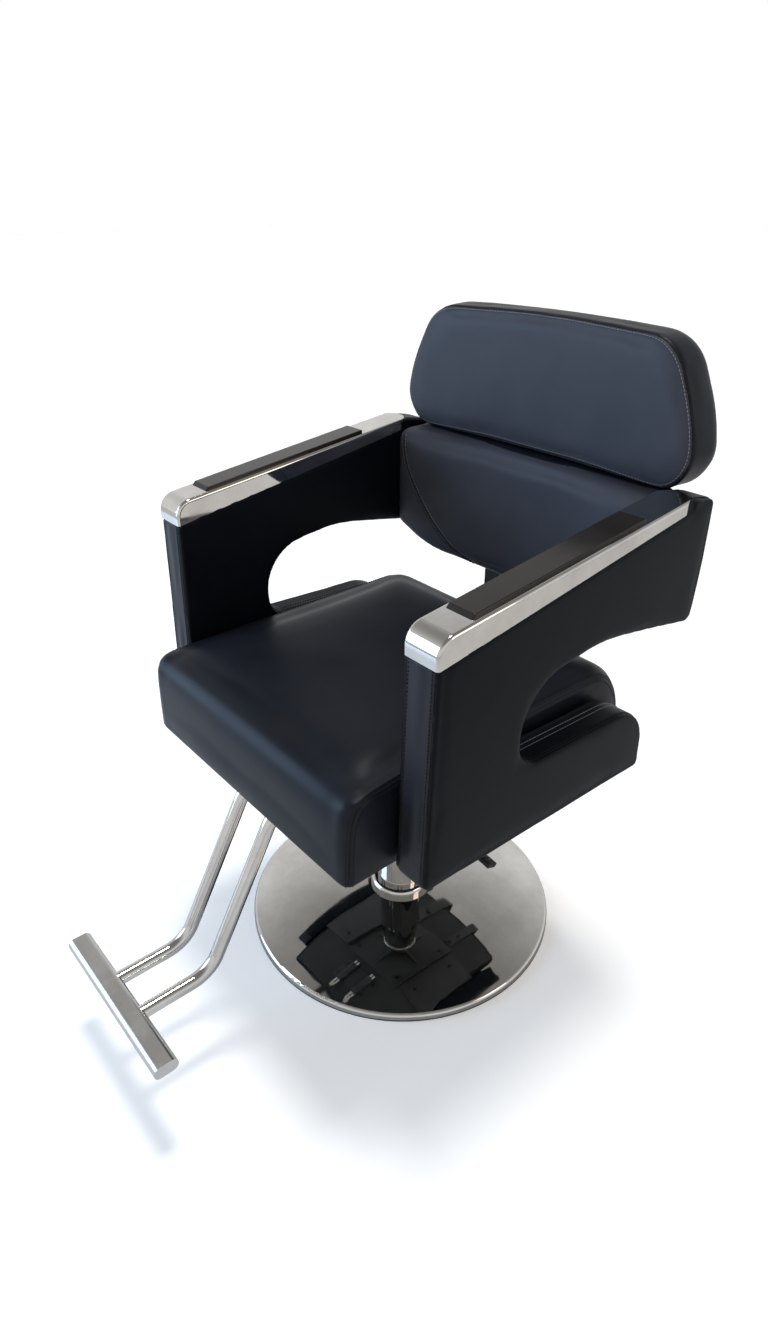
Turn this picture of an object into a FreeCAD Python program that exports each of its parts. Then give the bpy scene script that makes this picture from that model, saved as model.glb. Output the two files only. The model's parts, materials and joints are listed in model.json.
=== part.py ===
import FreeCAD, Part

import Sketcher
import math
import os
from types import SimpleNamespace
from FreeCAD import Placement, Rotation, Vector

# Salon threading chair: a round floor base, a foot pump column, an upholstered seat
# between two C-shaped arms with chrome caps, a T-bar footrest and a tilting head pad.
# The origin lies on the floor in the column's axis, +Z is up and the sitter faces -Y.

doc = FreeCAD.newDocument("ThreadingChair")

# Driving dimensions in millimetres, piece by piece
dimensions = {
    # clearances shared by all pieces
    "softGap": 0.3,
    "runningFit": 0.05,
    "overrun": 5,
    # round base
    "baseDiameter": 560,
    "coverWall": 2,
    "coverRimHeight": 9,
    "coverRimLift": 3,
    "coverRimRoll": 8,
    "shoulderSetback": 95,
    "shoulderDrop": 8,
    "shoulderRound": 650,
    "hubMargin": 6.5,
    "hubHeight": 50,
    "ringWidth": 30,
    "ringUnderlap": 12,
    "ringLipWidth": 6,
    "ringLipHeight": 9,
    "plateThickness": 12,
    "baseBoltMargin": 13.5,
    "baseBoltDiameter": 10,
    "baseBoltHeadWidth": 17,
    "baseBoltHeadHeight": 6,
    # column
    "flangeMargin": 14,
    "flangeThickness": 10,
    "cylinderRadius": 42.5,
    "cylinderFloor": 18,
    "cylinderTop": 318,
    "collarWidth": 13,
    "collarHeight": 16,
    "collarRound": 7,
    "capOverhang": 3.5,
    "capHeight": 18,
    "capRound": 5,
    "bushWall": 5,
    "bushLength": 30,
    "ramRadius": 19,
    "pistonHeight": 22,
    "pistonClearance": 19,
    "ramReach": 30,
    "ramPlay": 2,
    "spigotStep": 3,
    "spigotLength": 34,
    "washerThickness": 3,
    "washerWidth": 9,
    # foot pump
    "valveBlockWidth": 44,
    "valveBlockDepth": 41.5,
    "valveBlockGap": 4,
    "valveBlockHeight": 52,
    "valveBlockRound": 8,
    "leverWidth": 16,
    "leverDepth": 14,
    "leverSlotRise": 12,
    "pivotSetback": 29.5,
    "pivotRise": 14,
    "pivotRadius": 5,
    "pivotBoss": 10,
    "leverNoseGap": 7.5,
    "leverNoseRise": 4,
    "leverBend": 30,
    "leverLength": 190,
    "leverRise": 12,
    "plungerSetback": 6,
    "plungerRadius": 5,
    "plungerLength": 22,
    "treadWidth": 84,
    "treadLength": 34,
    "treadHeight": 18,
    "treadRound": 6,
    "treadRibDepth": 1.5,
    # seat plate and board under the seat
    "seatPlateLength": 262,
    "seatPlateWidth": 250,
    "seatPlateThickness": 5,
    "seatPlateRound": 12,
    "seatFlangeDepth": 22,
    "socketWall": 11,
    "socketLength": 41,
    "ribLength": 68,
    "ribThickness": 5,
    "seatBoltDiameter": 8,
    "seatBoltMargin": 30,
    "seatBoltHeadHeight": 5,
    "seatBoltHeadWidth": 13,
    "boardThickness": 15,
    "boardInset": 14,
    # seat cushion
    "seatSideGap": 7,
    "seatFront": 320,
    "seatRear": 263,
    "seatFrontRound": 16,
    "seatRearRound": 35,
    "seatHeight": 146,
    # arms
    "armInner": 262,
    "armWidth": 59,
    "armFront": 246,
    "armDepth": 540,
    "armDrop": 14,
    "armHeight": 432,
    "armRound": 5,
    "armCoreThickness": 18,
    "armCoreInset": 16,
    # chrome arm caps and armrests
    "capWall": 1.8,
    "capSetback": 11,
    "capRearSetback": 53,
    "capRise": 3,
    "capFall": 58,
    "capFrontDepth": 36,
    "capRearDepth": 17,
    "capNoseRound": 28,
    "capEdgeRound": 5,
    "capEndRound": 26,
    "restInset": 8,
    "restFrontSetback": 57,
    "restRearSetback": 103,
    "restHeight": 5,
    "restRound": 2,
    # brackets between the seat and the arms
    "armBracketThickness": 4,
    "armBracketLength": 240,
    "armBracketGap": 6,
    "armBracketHole": 40,
    "armBracketRise": 80,
    "armBracketRound": 8,
    "armBoltSpan": 160,
    "armBoltDiameter": 8,
    "armBoltHead": 15,
    "armBoltHeadHeight": 1.8,
    # lower back
    "backFront": 204,
    "backHollow": 50,
    "backThickness": 88,
    "backDrop": 12,
    "backSideHeight": 171,
    "backDipHeight": 215,
    "backDipHalfWidth": 200,
    "backDipRound": 150,
    "backHeight": 231,
    "backMiddleRound": 1500,
    "backTopRound": 22,
    "backBottomRound": 12,
    "backBoardThickness": 12,
    "backBoardInset": 14,
    # flat bars that carry the back
    "uprightSpacing": 84,
    "uprightWidth": 35,
    "uprightThickness": 6,
    "uprightLap": 117,
    "uprightGap": 7,
    "uprightBend": 20,
    "uprightBoltPitch": 44,
    # head pad
    "headSetback": 36,
    "headThickness": 72.4,
    "headHollow": 17.4,
    "headGap": 4,
    "headHeight": 208,
    "headCrown": 5,
    "headCrownRound": 2500,
    "headHalfWidth": 305,
    "headBottomRound": 54,
    "headMiddleRise": 105,
    "headMiddleSetback": 22,
    "headMiddleRound": 260,
    "headTaper": 69,
    "headTopRound": 75,
    "headEdgeRound": 9,
    "headBoardThickness": 12,
    "headBoardInset": 22,
    # tilt hinges of the head pad
    "hingeSpacing": 150,
    "hingeStandoff": 11.5,
    "hingeDrop": 6,
    "hingeBarrel": 8,
    "hingePinRadius": 4,
    "hingePinHead": 1.6,
    "hingeMiddleWidth": 20,
    "hingeWidth": 38,
    "leafThickness": 3,
    "crankThickness": 5,
    "lowerLeafLength": 92,
    "upperLeafLength": 104,
    "leafScrewPitch": 50,
    "leafScrewDiameter": 5,
    "leafScrewLength": 13,
    "leafScrewHead": 2,
    # footrest
    "footTubeRadius": 11,
    "footTubeWall": 1.5,
    "footTubeSpacing": 39,
    "footTubeGap": 19,
    "footClampSetback": 14,
    "footClampLength": 86,
    "footClampThickness": 3,
    "footClampFlange": 24,
    "footBoltPitch": 50,
    "footClampLead": 34,
    "footSlopeRun": 140,
    "footLowerRun": 129,
    "footTubeHeight": 150,
    "footBendRadius": 55,
    "footBarLength": 292,
    "footBarDepth": 37,
    "footBarHeight": 22,
    "footBarRise": 1.5,
    "footCapThickness": 3,
    "footPlugLength": 14,
}

# Places and sizes that follow from the driving ones, as formulas for the sheet
derivedSizes = {
    # round base and column
    "shoulderRadius": "baseDiameter / 2 - shoulderSetback",
    "shoulderHeight": "hubHeight - shoulderDrop",
    "ringSeatRadius": "baseDiameter / 2 - ringWidth",
    "ringInnerRadius": "ringSeatRadius - ringUnderlap",
    "collarRadius": "cylinderRadius + collarWidth",
    "hubRadius": "collarRadius + hubMargin",
    "capRadius": "cylinderRadius + capOverhang",
    "baseBoltCircle": "cylinderRadius + baseBoltMargin",
    "flangeRadius": "baseBoltCircle + flangeMargin",
    "boreRadius": "ramRadius + bushWall",
    "pistonBottom": "coverRimLift + plateThickness + cylinderFloor + pistonClearance",
    "ramShoulder": "cylinderTop + capHeight + ramReach",
    "spigotRadius": "ramRadius - spigotStep",
    "washerRadius": "spigotRadius + washerWidth",
    # foot pump
    "valveBlockReach": "cylinderRadius + valveBlockDepth",
    "valveBlockBottom": "hubHeight + collarHeight + valveBlockGap",
    "valveBlockTop": "valveBlockBottom + valveBlockHeight",
    "pivotReach": "cylinderRadius + pivotSetback",
    "pivotHeight": "valveBlockBottom + pivotRise",
    "leverSlotRoof": "pivotHeight + leverSlotRise",
    "leverNoseReach": "cylinderRadius + leverNoseGap",
    "leverTip": "pivotReach + leverLength",
    "plungerReach": "leverNoseReach + plungerSetback",
    # seat
    "seatBottom": "ramShoulder + washerThickness + socketLength",
    "socketRadius": "spigotRadius + socketWall",
    "ribReach": "socketRadius + ribLength",
    "seatBoltSpan": "seatPlateWidth - 2 * seatBoltMargin",
    "seatHalfWidth": "armInner - seatSideGap",
    # arms, caps and armrests
    "armBottom": "seatBottom - armDrop",
    "capFront": "armFront - capSetback",
    "capRear": "armDepth - armFront - capRearSetback",
    "capRearTop": "armBottom + armHeight + capRise",
    "capFrontTop": "capRearTop - capFall",
    "capFrontSkirt": "capFrontTop - capFrontDepth",
    "capRearSkirt": "capRearTop - capRearDepth",
    "restFront": "capFront - restFrontSetback",
    "restRear": "capRear - restRearSetback",
    "armBracketFoot": "seatPlateWidth / 2 + armBracketGap",
    # backs, uprights and hinges
    "backHalfWidth": "armInner - softGap",
    "backRear": "backFront + backThickness",
    "backTop": "armBottom + armHeight - backDrop",
    "backSideBottom": "backTop - backSideHeight",
    "backDipBottom": "backTop - backDipHeight",
    "backMiddleBottom": "backTop - backHeight",
    "uprightTop": "backMiddleBottom + uprightLap",
    "uprightFront": "seatPlateLength / 2 + uprightGap",
    "headRear": "backRear + headSetback",
    "headFront": "headRear - headThickness",
    "headBottom": "backTop + headGap",
    "headTop": "headBottom + headHeight",
    "headMiddle": "headBottom + headMiddleRise",
    "headMiddleHalfWidth": "headHalfWidth - headMiddleSetback",
    "headTopHalfWidth": "headHalfWidth - headTaper",
    "hingeAxisReach": "backRear + hingeStandoff",
    "hingeAxisHeight": "backTop - hingeDrop",
    # footrest
    "footTubeRear": "seatPlateLength / 2 + footTubeGap",
    "footClampFront": "footTubeRear + footClampSetback + footClampLength",
    "footUpperCorner": "footClampFront + footClampLead",
    "footLowerCorner": "footUpperCorner + footSlopeRun",
    "footBarReach": "footLowerCorner + footLowerRun",
    "footBarHeightCentre": "footTubeHeight + footBarRise",
}

sheet = doc.addObject("Spreadsheet::Sheet", "Sizes")
contents = {alias: str(amount) for alias, amount in dimensions.items()}
contents.update({alias: f"={formula}" for alias, formula in derivedSizes.items()})
for row, (alias, content) in enumerate(contents.items(), start=1):
    sheet.set(f"A{row}", alias)
    sheet.set(f"B{row}", content)
    sheet.setAlias(f"B{row}", alias)
doc.recompute()
size = SimpleNamespace(**{alias: float(getattr(sheet, alias)) for alias in contents})


# Drawing helpers

# Counts, and shares of the sizes that a form follows
baseBoltCount = 4
ribCount = 4
treadRibCount = 4
hexSides = 6
leastRoundShare = 0.5
roundEndShare = 0.9
treadGrooveShare = 0.45
ribRootShare = 0.8
saddleRoundShare = 0.95
crownApexShare = 0.4
leafScrewEndShare = 0.25

# Seat cushion, bottom to crown: rise, and the inset at the sides, the front and the rear
seatSectionShares = [
    (0, 0.018, 0.012, 0.02),
    (0.05, 0.009, 0.006, 0.011),
    (0.2, 0.003, 0.002, 0.004),
    (0.42, 0, 0, 0.023),
    (0.55, 0.001, 0.001, 0.047),
    (0.66, 0.002, 0.002, 0.077),
    (0.74, 0.004, 0.004, 0.104),
    (0.8, 0.007, 0.009, 0.133),
    (0.84, 0.011, 0.015, 0.155),
    (0.87, 0.016, 0.023, 0.174),
    (0.91, 0.033, 0.048, 0.203),
    (0.945, 0.065, 0.09, 0.237),
    (0.97, 0.12, 0.15, 0.28),
    (0.985, 0.2, 0.23, 0.34),
    (0.995, 0.31, 0.33, 0.43),
    (1, 0.45, 0.44, 0.55),
]

# Head pad, rear to front: depth, and the inset in edge rounds
headSectionShares = [(0, 0.8), (0.12, 0.15), (0.42, 0), (0.75, 0.15), (1, 0.45)]

# Arm outline from the rear top round the C opening to the lower nose: depth, height and rounding
armFrontFootShares = (0, 0.037, 0.0275)
armRearShares = [
    (0.994, 0.982, 0.0225),
    (1, 0.764, 0.4625),
    (0.991, 0.542, 0.0325),
    (0.585, 0.632, 0.695),
    (0.293, 0.586, 0.1875),
    (0.3185, 0.308, 0.0975),
    (0.841, 0.278, 0.18),
    (0.857, 0.0023, 0.0231),
]

tiny = size.runningFit


def roundedLoop(corners):
    """Lines between the corners (x, y) or (x, y, radius), with a tangent arc at each radius."""
    count = len(corners)
    points = [Vector(corner[0], corner[1], 0) for corner in corners]
    starts, ends, arcs = [], [], []
    for index, corner in enumerate(corners):
        here = points[index]
        toBefore = (points[index - 1] - here).normalize()
        toAfter = (points[(index + 1) % count] - here).normalize()
        radius = corner[2] if len(corner) > 2 else 0
        if radius <= 0:
            starts.append(here)
            ends.append(here)
            arcs.append(None)
            continue
        half = toBefore.getAngle(toAfter) / 2
        starts.append(here + toBefore * (radius / math.tan(half)))
        ends.append(here + toAfter * (radius / math.tan(half)))
        bisector = (toBefore + toAfter).normalize()
        middle = here + bisector * (radius / math.sin(half) - radius)
        arcs.append(Part.Arc(starts[-1], middle, ends[-1]))
    edges = []
    for index in range(count):
        if arcs[index]:
            edges.append(arcs[index])
        edges.append(Part.LineSegment(ends[index], starts[(index + 1) % count]))
    return edges


def insetCorners(corners, insets):
    """The same outline moved inwards; insets is one distance, or one for the edge after each corner."""
    count = len(corners)
    if not isinstance(insets, (list, tuple)):
        insets = [insets] * count
    points = [Vector(corner[0], corner[1], 0) for corner in corners]
    area = sum(points[i].x * points[(i + 1) % count].y - points[(i + 1) % count].x * points[i].y
               for i in range(count))
    turn = 1 if area > 0 else -1
    moved = []
    for index, corner in enumerate(corners):
        before = (points[index] - points[index - 1]).normalize()
        after = (points[(index + 1) % count] - points[index]).normalize()
        cross = (before.x * after.y - before.y * after.x) * turn
        place = points[index] + (after * insets[index - 1] - before * insets[index]) / cross
        radius = corner[2] if len(corner) > 2 else 0
        change = min(insets[index - 1], insets[index]) * (1 if cross > 0 else -1)
        moved.append((place.x, place.y, max(radius - change, radius * leastRoundShare)))
    return moved


def originFeature(body, role):
    return [feature for feature in body.Origin.OriginFeatures if feature.Role == role][0]


def newBody(label):
    body = doc.addObject("PartDesign::Body", label)
    body.Label = label
    return body


def sketchOn(body, role, edges, height=None):
    """A closed sketch on one of the body's origin planes, raised along the plane's normal."""
    sketch = body.newObject("Sketcher::SketchObject", f"{body.Name}_outline")
    sketch.AttachmentSupport = [(originFeature(body, role), "")]
    sketch.MapMode = "FlatFace"
    if height is not None:
        sketch.setExpression("AttachmentOffset.Base.z", height)
    sketch.addGeometry(edges, False)
    return sketch


def checkedFeature(body, feature, removes):
    """Recomputes, and stops when an addition or a cut has left the volume as it was."""
    before = feature.BaseFeature.Shape.Volume if feature.BaseFeature else 0
    body.Tip = feature
    doc.recompute()
    change = feature.Shape.Volume - before
    if (change >= 0) if removes else (change <= 0):
        raise RuntimeError(f"{body.Label}: {feature.Label} changed the volume by {change}")
    return feature


def pad(body, sketch, length, symmetric=False, reverse=False):
    feature = body.newObject("PartDesign::Pad", f"{body.Name}_pad")
    feature.Profile = sketch
    feature.setExpression("Length", length)
    feature.SideType = "Symmetric" if symmetric else "One side"
    feature.Reversed = reverse
    return checkedFeature(body, feature, removes=False)


def pocket(body, sketch, length, symmetric=False, reverse=False):
    feature = body.newObject("PartDesign::Pocket", f"{body.Name}_pocket")
    feature.Profile = sketch
    feature.setExpression("Length", length)
    feature.SideType = "Symmetric" if symmetric else "One side"
    feature.Reversed = reverse
    return checkedFeature(body, feature, removes=True)


def revolve(body, corners):
    """A turned piece: the profile (radius, height) goes once round the body's Z axis."""
    sketch = sketchOn(body, "XZ_Plane", roundedLoop(corners))
    feature = body.newObject("PartDesign::Revolution", f"{body.Name}_turned")
    feature.Profile = sketch
    feature.ReferenceAxis = (sketch, ["V_Axis"])
    feature.Angle = 360
    return checkedFeature(body, feature, removes=False)


def groove(body, corners):
    sketch = sketchOn(body, "XZ_Plane", roundedLoop(corners))
    feature = body.newObject("PartDesign::Groove", f"{body.Name}_hollow")
    feature.Profile = sketch
    feature.ReferenceAxis = (sketch, ["V_Axis"])
    feature.Angle = 360
    return checkedFeature(body, feature, removes=True)


def loft(body, sketches, ruled=False):
    feature = body.newObject("PartDesign::AdditiveLoft", f"{body.Name}_loft")
    feature.Profile = sketches[0]
    feature.Sections = sketches[1:]
    feature.Ruled = ruled
    return checkedFeature(body, feature, removes=False)


def fillet(body, radius, test):
    """Rounds the edges of the body's tip for which test(edge) holds."""
    base = body.Tip
    names = [f"Edge{number}" for number, edge in enumerate(base.Shape.Edges, start=1) if test(edge)]
    if not names:
        raise RuntimeError(f"{body.Label}: no edge to round")
    feature = body.newObject("PartDesign::Fillet", f"{body.Name}_round")
    feature.Base = (base, names)
    feature.setExpression("Radius", radius)
    body.Tip = feature
    doc.recompute()
    return feature


def polarPattern(body, feature, count):
    pattern = body.newObject("PartDesign::PolarPattern", f"{body.Name}_around")
    pattern.Originals = [feature]
    pattern.Axis = (originFeature(body, "Z_Axis"), [""])
    pattern.Angle = 360
    pattern.Occurrences = count
    body.Tip = pattern
    doc.recompute()
    return pattern


def mirrored(label, source):
    """The sitter's right-hand twin of a piece that was drawn on the left."""
    twin = doc.addObject("Part::Mirroring", label)
    twin.Label = label
    twin.Source = source
    twin.Normal = Vector(1, 0, 0)
    return twin


def fastenerGroup(label, fastener, places):
    """One node with a copy of the fastener's solid at each (position, direction)."""
    group = doc.addObject("Part::Feature", label)
    group.Label = label
    copies = []
    for position, direction in places:
        copy = fastener.copy()
        copy.Placement = Placement(position, Rotation(Vector(0, 0, 1), direction))
        copies.append(copy)
    group.Shape = Part.makeCompound(copies)
    group.Placement = Placement()
    return group


def hexBolt(diameter, length, headWidth, headHeight):
    """A hexagon bolt along +Z, with the head's bearing face at the origin and the head below it."""
    radius = headWidth / 2 / math.cos(math.pi / hexSides)
    turns = [2 * math.pi * step / hexSides for step in range(hexSides + 1)]
    corners = [Vector(radius * math.cos(turn), radius * math.sin(turn), -headHeight) for turn in turns]
    head = Part.Face(Part.makePolygon(corners)).extrude(Vector(0, 0, headHeight))
    shank = Part.makeCylinder(diameter / 2, length)
    return head.fuse(shank).removeSplitter()


def panBolt(diameter, length, headDiameter, headHeight):
    """A low round-headed bolt along +Z, with the head's bearing face at the origin."""
    head = Part.makeCylinder(headDiameter / 2, headHeight, Vector(0, 0, -headHeight))
    shank = Part.makeCylinder(diameter / 2, length)
    return head.fuse(shank).removeSplitter()


def circlesOn(body, role, centres, radius, height=None):
    """Circles of one radius, bound to the sheet, round the given centres."""
    circles = [Part.Circle(Vector(x, y, 0), Vector(0, 0, 1), 1) for x, y in centres]
    sketch = sketchOn(body, role, circles, height)
    for index in range(len(circles)):
        constraint = sketch.addConstraint(Sketcher.Constraint("Radius", index, 1))
        sketch.setExpression(f"Constraints[{constraint}]", radius)
    return sketch


def drill(body, role, centres, radius, height, depth, reverse=False):
    return pocket(body, circlesOn(body, role, centres, radius, height), depth, reverse=reverse)


# Round base

def coverCorners():
    """The chrome cover's outer profile: hub, shallow dome and rolled rim, as (radius, height)."""
    rim = size.baseDiameter / 2
    hole = size.cylinderRadius + size.softGap
    return [
        (hole, size.coverRimLift),
        (hole, size.hubHeight),
        (size.hubRadius, size.hubHeight, size.coverRimRoll),
        (size.shoulderRadius, size.shoulderHeight, size.shoulderRound),
        (rim, size.coverRimHeight + size.coverRimLift, size.coverRimRoll),
        (rim, size.coverRimLift),
    ]


def makeBaseCover():
    body = newBody("base_cover")
    revolve(body, coverCorners())
    wall = size.coverWall
    inside = insetCorners(coverCorners(), [-size.overrun, wall, wall, wall, wall, -size.overrun])
    groove(body, inside)
    return body


def makeFloorRing():
    rim = size.baseDiameter / 2
    lip = size.ringSeatRadius + size.ringLipWidth
    body = newBody("floor_ring")
    revolve(body, [
        (size.ringInnerRadius, 0),
        (rim, 0, size.softGap),
        (rim, size.coverRimLift),
        (lip, size.coverRimLift),
        (lip, size.ringLipHeight),
        (size.ringSeatRadius, size.ringLipHeight),
        (size.ringSeatRadius, size.coverRimLift),
        (size.ringInnerRadius, size.coverRimLift),
    ])
    return body


def makeBasePlate():
    body = newBody("base_plate")
    disc = circlesOn(body, "XY_Plane", [(0, 0)], "Sizes.ringSeatRadius - Sizes.softGap",
                     "Sizes.coverRimLift")
    pad(body, disc, "Sizes.plateThickness")
    firstBolt = [(size.baseBoltCircle, 0)]
    hole = drill(body, "XY_Plane", firstBolt, "Sizes.baseBoltDiameter / 2 + Sizes.runningFit",
                 "Sizes.coverRimLift", "Sizes.plateThickness", reverse=True)
    polarPattern(body, hole, baseBoltCount)
    recess = drill(body, "XY_Plane", firstBolt, "Sizes.baseBoltHeadWidth / sqrt(3) + Sizes.softGap",
                   "Sizes.coverRimLift", "Sizes.baseBoltHeadHeight + Sizes.softGap", reverse=True)
    polarPattern(body, recess, baseBoltCount)
    return body


def makeBaseBolts():
    bearing = size.coverRimLift + size.baseBoltHeadHeight + size.softGap
    length = size.coverRimLift + size.plateThickness + size.flangeThickness - bearing
    bolt = hexBolt(size.baseBoltDiameter, length, size.baseBoltHeadWidth, size.baseBoltHeadHeight)
    places = []
    for step in range(baseBoltCount):
        angle = 2 * math.pi * step / baseBoltCount
        places.append((Vector(size.baseBoltCircle * math.cos(angle),
                              size.baseBoltCircle * math.sin(angle), bearing), Vector(0, 0, 1)))
    return fastenerGroup("base_bolts", bolt, places)


def makeColumnCollar():
    body = newBody("column_collar")
    inner = size.cylinderRadius + size.runningFit
    top = size.hubHeight + size.collarHeight
    revolve(body, [
        (inner, size.hubHeight),
        (size.collarRadius, size.hubHeight),
        (size.collarRadius, top, size.collarRound),
        (inner, top),
    ])
    return body


# Pump column

def makePumpCylinder():
    body = newBody("pump_cylinder")
    foot = size.coverRimLift + size.plateThickness
    flangeTop = foot + size.flangeThickness
    revolve(body, [
        (0, foot),
        (size.flangeRadius, foot),
        (size.flangeRadius, flangeTop, size.coverWall),
        (size.cylinderRadius, flangeTop, size.capRound),
        (size.cylinderRadius, size.cylinderTop),
        (size.boreRadius, size.cylinderTop),
        (size.boreRadius, foot + size.cylinderFloor),
        (0, foot + size.cylinderFloor),
    ])
    hole = drill(body, "XY_Plane", [(size.baseBoltCircle, 0)], "Sizes.baseBoltDiameter / 2",
                 "Sizes.coverRimLift + Sizes.plateThickness", "Sizes.flangeThickness", reverse=True)
    polarPattern(body, hole, baseBoltCount)
    return body


def makePumpCap():
    body = newBody("pump_cap")
    inner = size.ramRadius + size.softGap
    top = size.cylinderTop + size.capHeight
    revolve(body, [
        (inner, size.cylinderTop),
        (size.capRadius, size.cylinderTop, size.coverWall),
        (size.capRadius, top, size.capRound),
        (inner, top),
    ])
    return body


def makeGuideBush():
    body = newBody("guide_bush")
    inner = size.ramRadius + size.runningFit
    revolve(body, [
        (inner, size.cylinderTop - size.bushLength),
        (size.boreRadius, size.cylinderTop - size.bushLength),
        (size.boreRadius, size.cylinderTop),
        (inner, size.cylinderTop),
    ])
    return body


def makePumpRam():
    body = newBody("pump_ram")
    piston = size.boreRadius - size.runningFit
    pistonTop = size.pistonBottom + size.pistonHeight
    revolve(body, [
        (0, size.pistonBottom),
        (piston, size.pistonBottom),
        (piston, pistonTop),
        (size.ramRadius, pistonTop),
        (size.ramRadius, size.ramShoulder),
        (size.spigotRadius, size.ramShoulder),
        (size.spigotRadius, size.ramShoulder + size.spigotLength, size.coverWall),
        (0, size.ramShoulder + size.spigotLength),
    ])
    return body


def makeSwivelWasher():
    body = newBody("swivel_washer")
    top = size.ramShoulder + size.washerThickness
    revolve(body, [
        (size.spigotRadius + size.runningFit, size.ramShoulder),
        (size.washerRadius, size.ramShoulder),
        (size.washerRadius, top),
        (size.spigotRadius + size.runningFit, top),
    ])
    return body


# Foot pump

def makeValveBlock():
    """A block seated on the back of the cylinder, slotted for the lever and bored for the plunger."""
    body = newBody("valve_block")
    half = size.valveBlockWidth / 2
    outline = roundedLoop([
        (-half, 0),
        (half, 0),
        (half, size.valveBlockReach, size.valveBlockRound),
        (-half, size.valveBlockReach, size.valveBlockRound),
    ])
    pad(body, sketchOn(body, "XY_Plane", outline, "Sizes.valveBlockBottom"),
        "Sizes.valveBlockTop - Sizes.valveBlockBottom")
    drill(body, "XY_Plane", [(0, 0)], "Sizes.cylinderRadius", "Sizes.valveBlockTop",
          "Sizes.valveBlockTop - Sizes.valveBlockBottom")
    slot = size.leverWidth / 2 + size.softGap
    slotEdges = roundedLoop([(-slot, 0), (slot, 0), (slot, size.valveBlockReach + size.overrun),
                             (-slot, size.valveBlockReach + size.overrun)])
    pocket(body, sketchOn(body, "XY_Plane", slotEdges, "Sizes.leverSlotRoof"),
           "Sizes.leverSlotRoof - Sizes.valveBlockBottom")
    drill(body, "XY_Plane", [(0, size.plungerReach)], "Sizes.plungerRadius + Sizes.runningFit",
          "Sizes.leverSlotRoof", "Sizes.valveBlockTop - Sizes.leverSlotRoof - Sizes.overrun",
          reverse=True)
    drill(body, "YZ_Plane", [(size.pivotReach, size.pivotHeight)], "Sizes.pivotRadius",
          "Sizes.valveBlockWidth / 2", "Sizes.valveBlockWidth")
    return body


def makePedalPivot():
    pin = doc.addObject("Part::Cylinder", "pedal_pivot")
    pin.Label = "pedal_pivot"
    pin.setExpression("Radius", "Sizes.pivotRadius")
    pin.setExpression("Height", "Sizes.valveBlockWidth + 2 * Sizes.coverWall")
    pin.Placement = Placement(Vector(-size.valveBlockWidth / 2 - size.coverWall, size.pivotReach,
                                     size.pivotHeight), Rotation(Vector(0, 0, 1), Vector(1, 0, 0)))
    return pin


def makePlunger():
    body = newBody("pump_plunger")
    bottom = size.pivotHeight + size.leverNoseRise + size.softGap
    radius = size.plungerRadius
    revolve(body, [
        (0, bottom),
        (radius, bottom, radius * roundEndShare),
        (radius, bottom + size.plungerLength),
        (0, bottom + size.plungerLength),
    ])
    body.Placement = Placement(Vector(0, size.plungerReach, 0), Rotation())
    return body


def makePedalLever():
    """The lever's side outline: nose under the plunger, boss on the pivot, and the bent arm."""
    body = newBody("pedal_lever")
    drop = size.leverDepth - size.leverNoseRise
    outline = roundedLoop([
        (size.leverNoseReach, size.pivotHeight + size.leverNoseRise, size.coverWall),
        (size.leverNoseReach, size.pivotHeight - drop, size.coverWall),
        (size.pivotReach + size.pivotBoss, size.pivotHeight - drop, size.leverBend),
        (size.leverTip, size.pivotHeight + size.leverRise - drop),
        (size.leverTip, size.pivotHeight + size.leverRise + size.leverNoseRise),
        (size.pivotReach + size.pivotBoss, size.pivotHeight + size.leverNoseRise, size.leverBend),
    ])
    pad(body, sketchOn(body, "YZ_Plane", outline), "Sizes.leverWidth", symmetric=True)
    drill(body, "YZ_Plane", [(size.pivotReach, size.pivotHeight)],
          "Sizes.pivotRadius + Sizes.runningFit", "Sizes.leverWidth / 2", "Sizes.leverWidth")
    return body


def makePedalTread():
    """The ribbed rubber sleeve pushed over the lever's end."""
    body = newBody("pedal_tread")
    middle = size.pivotHeight + size.leverRise + size.leverNoseRise - size.leverDepth / 2
    low = middle - size.treadHeight / 2
    high = middle + size.treadHeight / 2
    front = size.leverTip - size.treadLength + size.treadRound
    rear = size.leverTip + size.treadRound
    outline = roundedLoop([
        (front, low, size.treadRound),
        (rear, low, size.treadRound),
        (rear, high, size.treadRound),
        (front, high, size.treadRound),
    ])
    pad(body, sketchOn(body, "YZ_Plane", outline), "Sizes.treadWidth", symmetric=True)
    slope = size.leverRise / (size.leverTip - size.pivotReach - size.pivotBoss)
    fall = slope * size.treadLength
    socket = roundedLoop([
        (front - size.overrun, middle - size.leverDepth / 2 - size.softGap - fall),
        (size.leverTip + size.softGap, middle - size.leverDepth / 2 - size.softGap),
        (size.leverTip + size.softGap, middle + size.leverDepth / 2 + size.softGap),
        (front - size.overrun, middle + size.leverDepth / 2 + size.softGap),
    ])
    pocket(body, sketchOn(body, "YZ_Plane", socket), "Sizes.leverWidth + 2 * Sizes.softGap",
           symmetric=True)
    pitch = (size.treadLength - 2 * size.treadRound) / treadRibCount
    grooves = []
    for step in range(treadRibCount):
        left = front + size.treadRound + pitch * step
        grooves += roundedLoop([
            (left, high - size.treadRibDepth),
            (left + pitch * treadGrooveShare, high - size.treadRibDepth),
            (left + pitch * treadGrooveShare, high + size.overrun),
            (left, high + size.overrun),
        ])
    pocket(body, sketchOn(body, "YZ_Plane", grooves), "Sizes.treadWidth", symmetric=True)
    return body


# Steel under the seat

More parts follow.
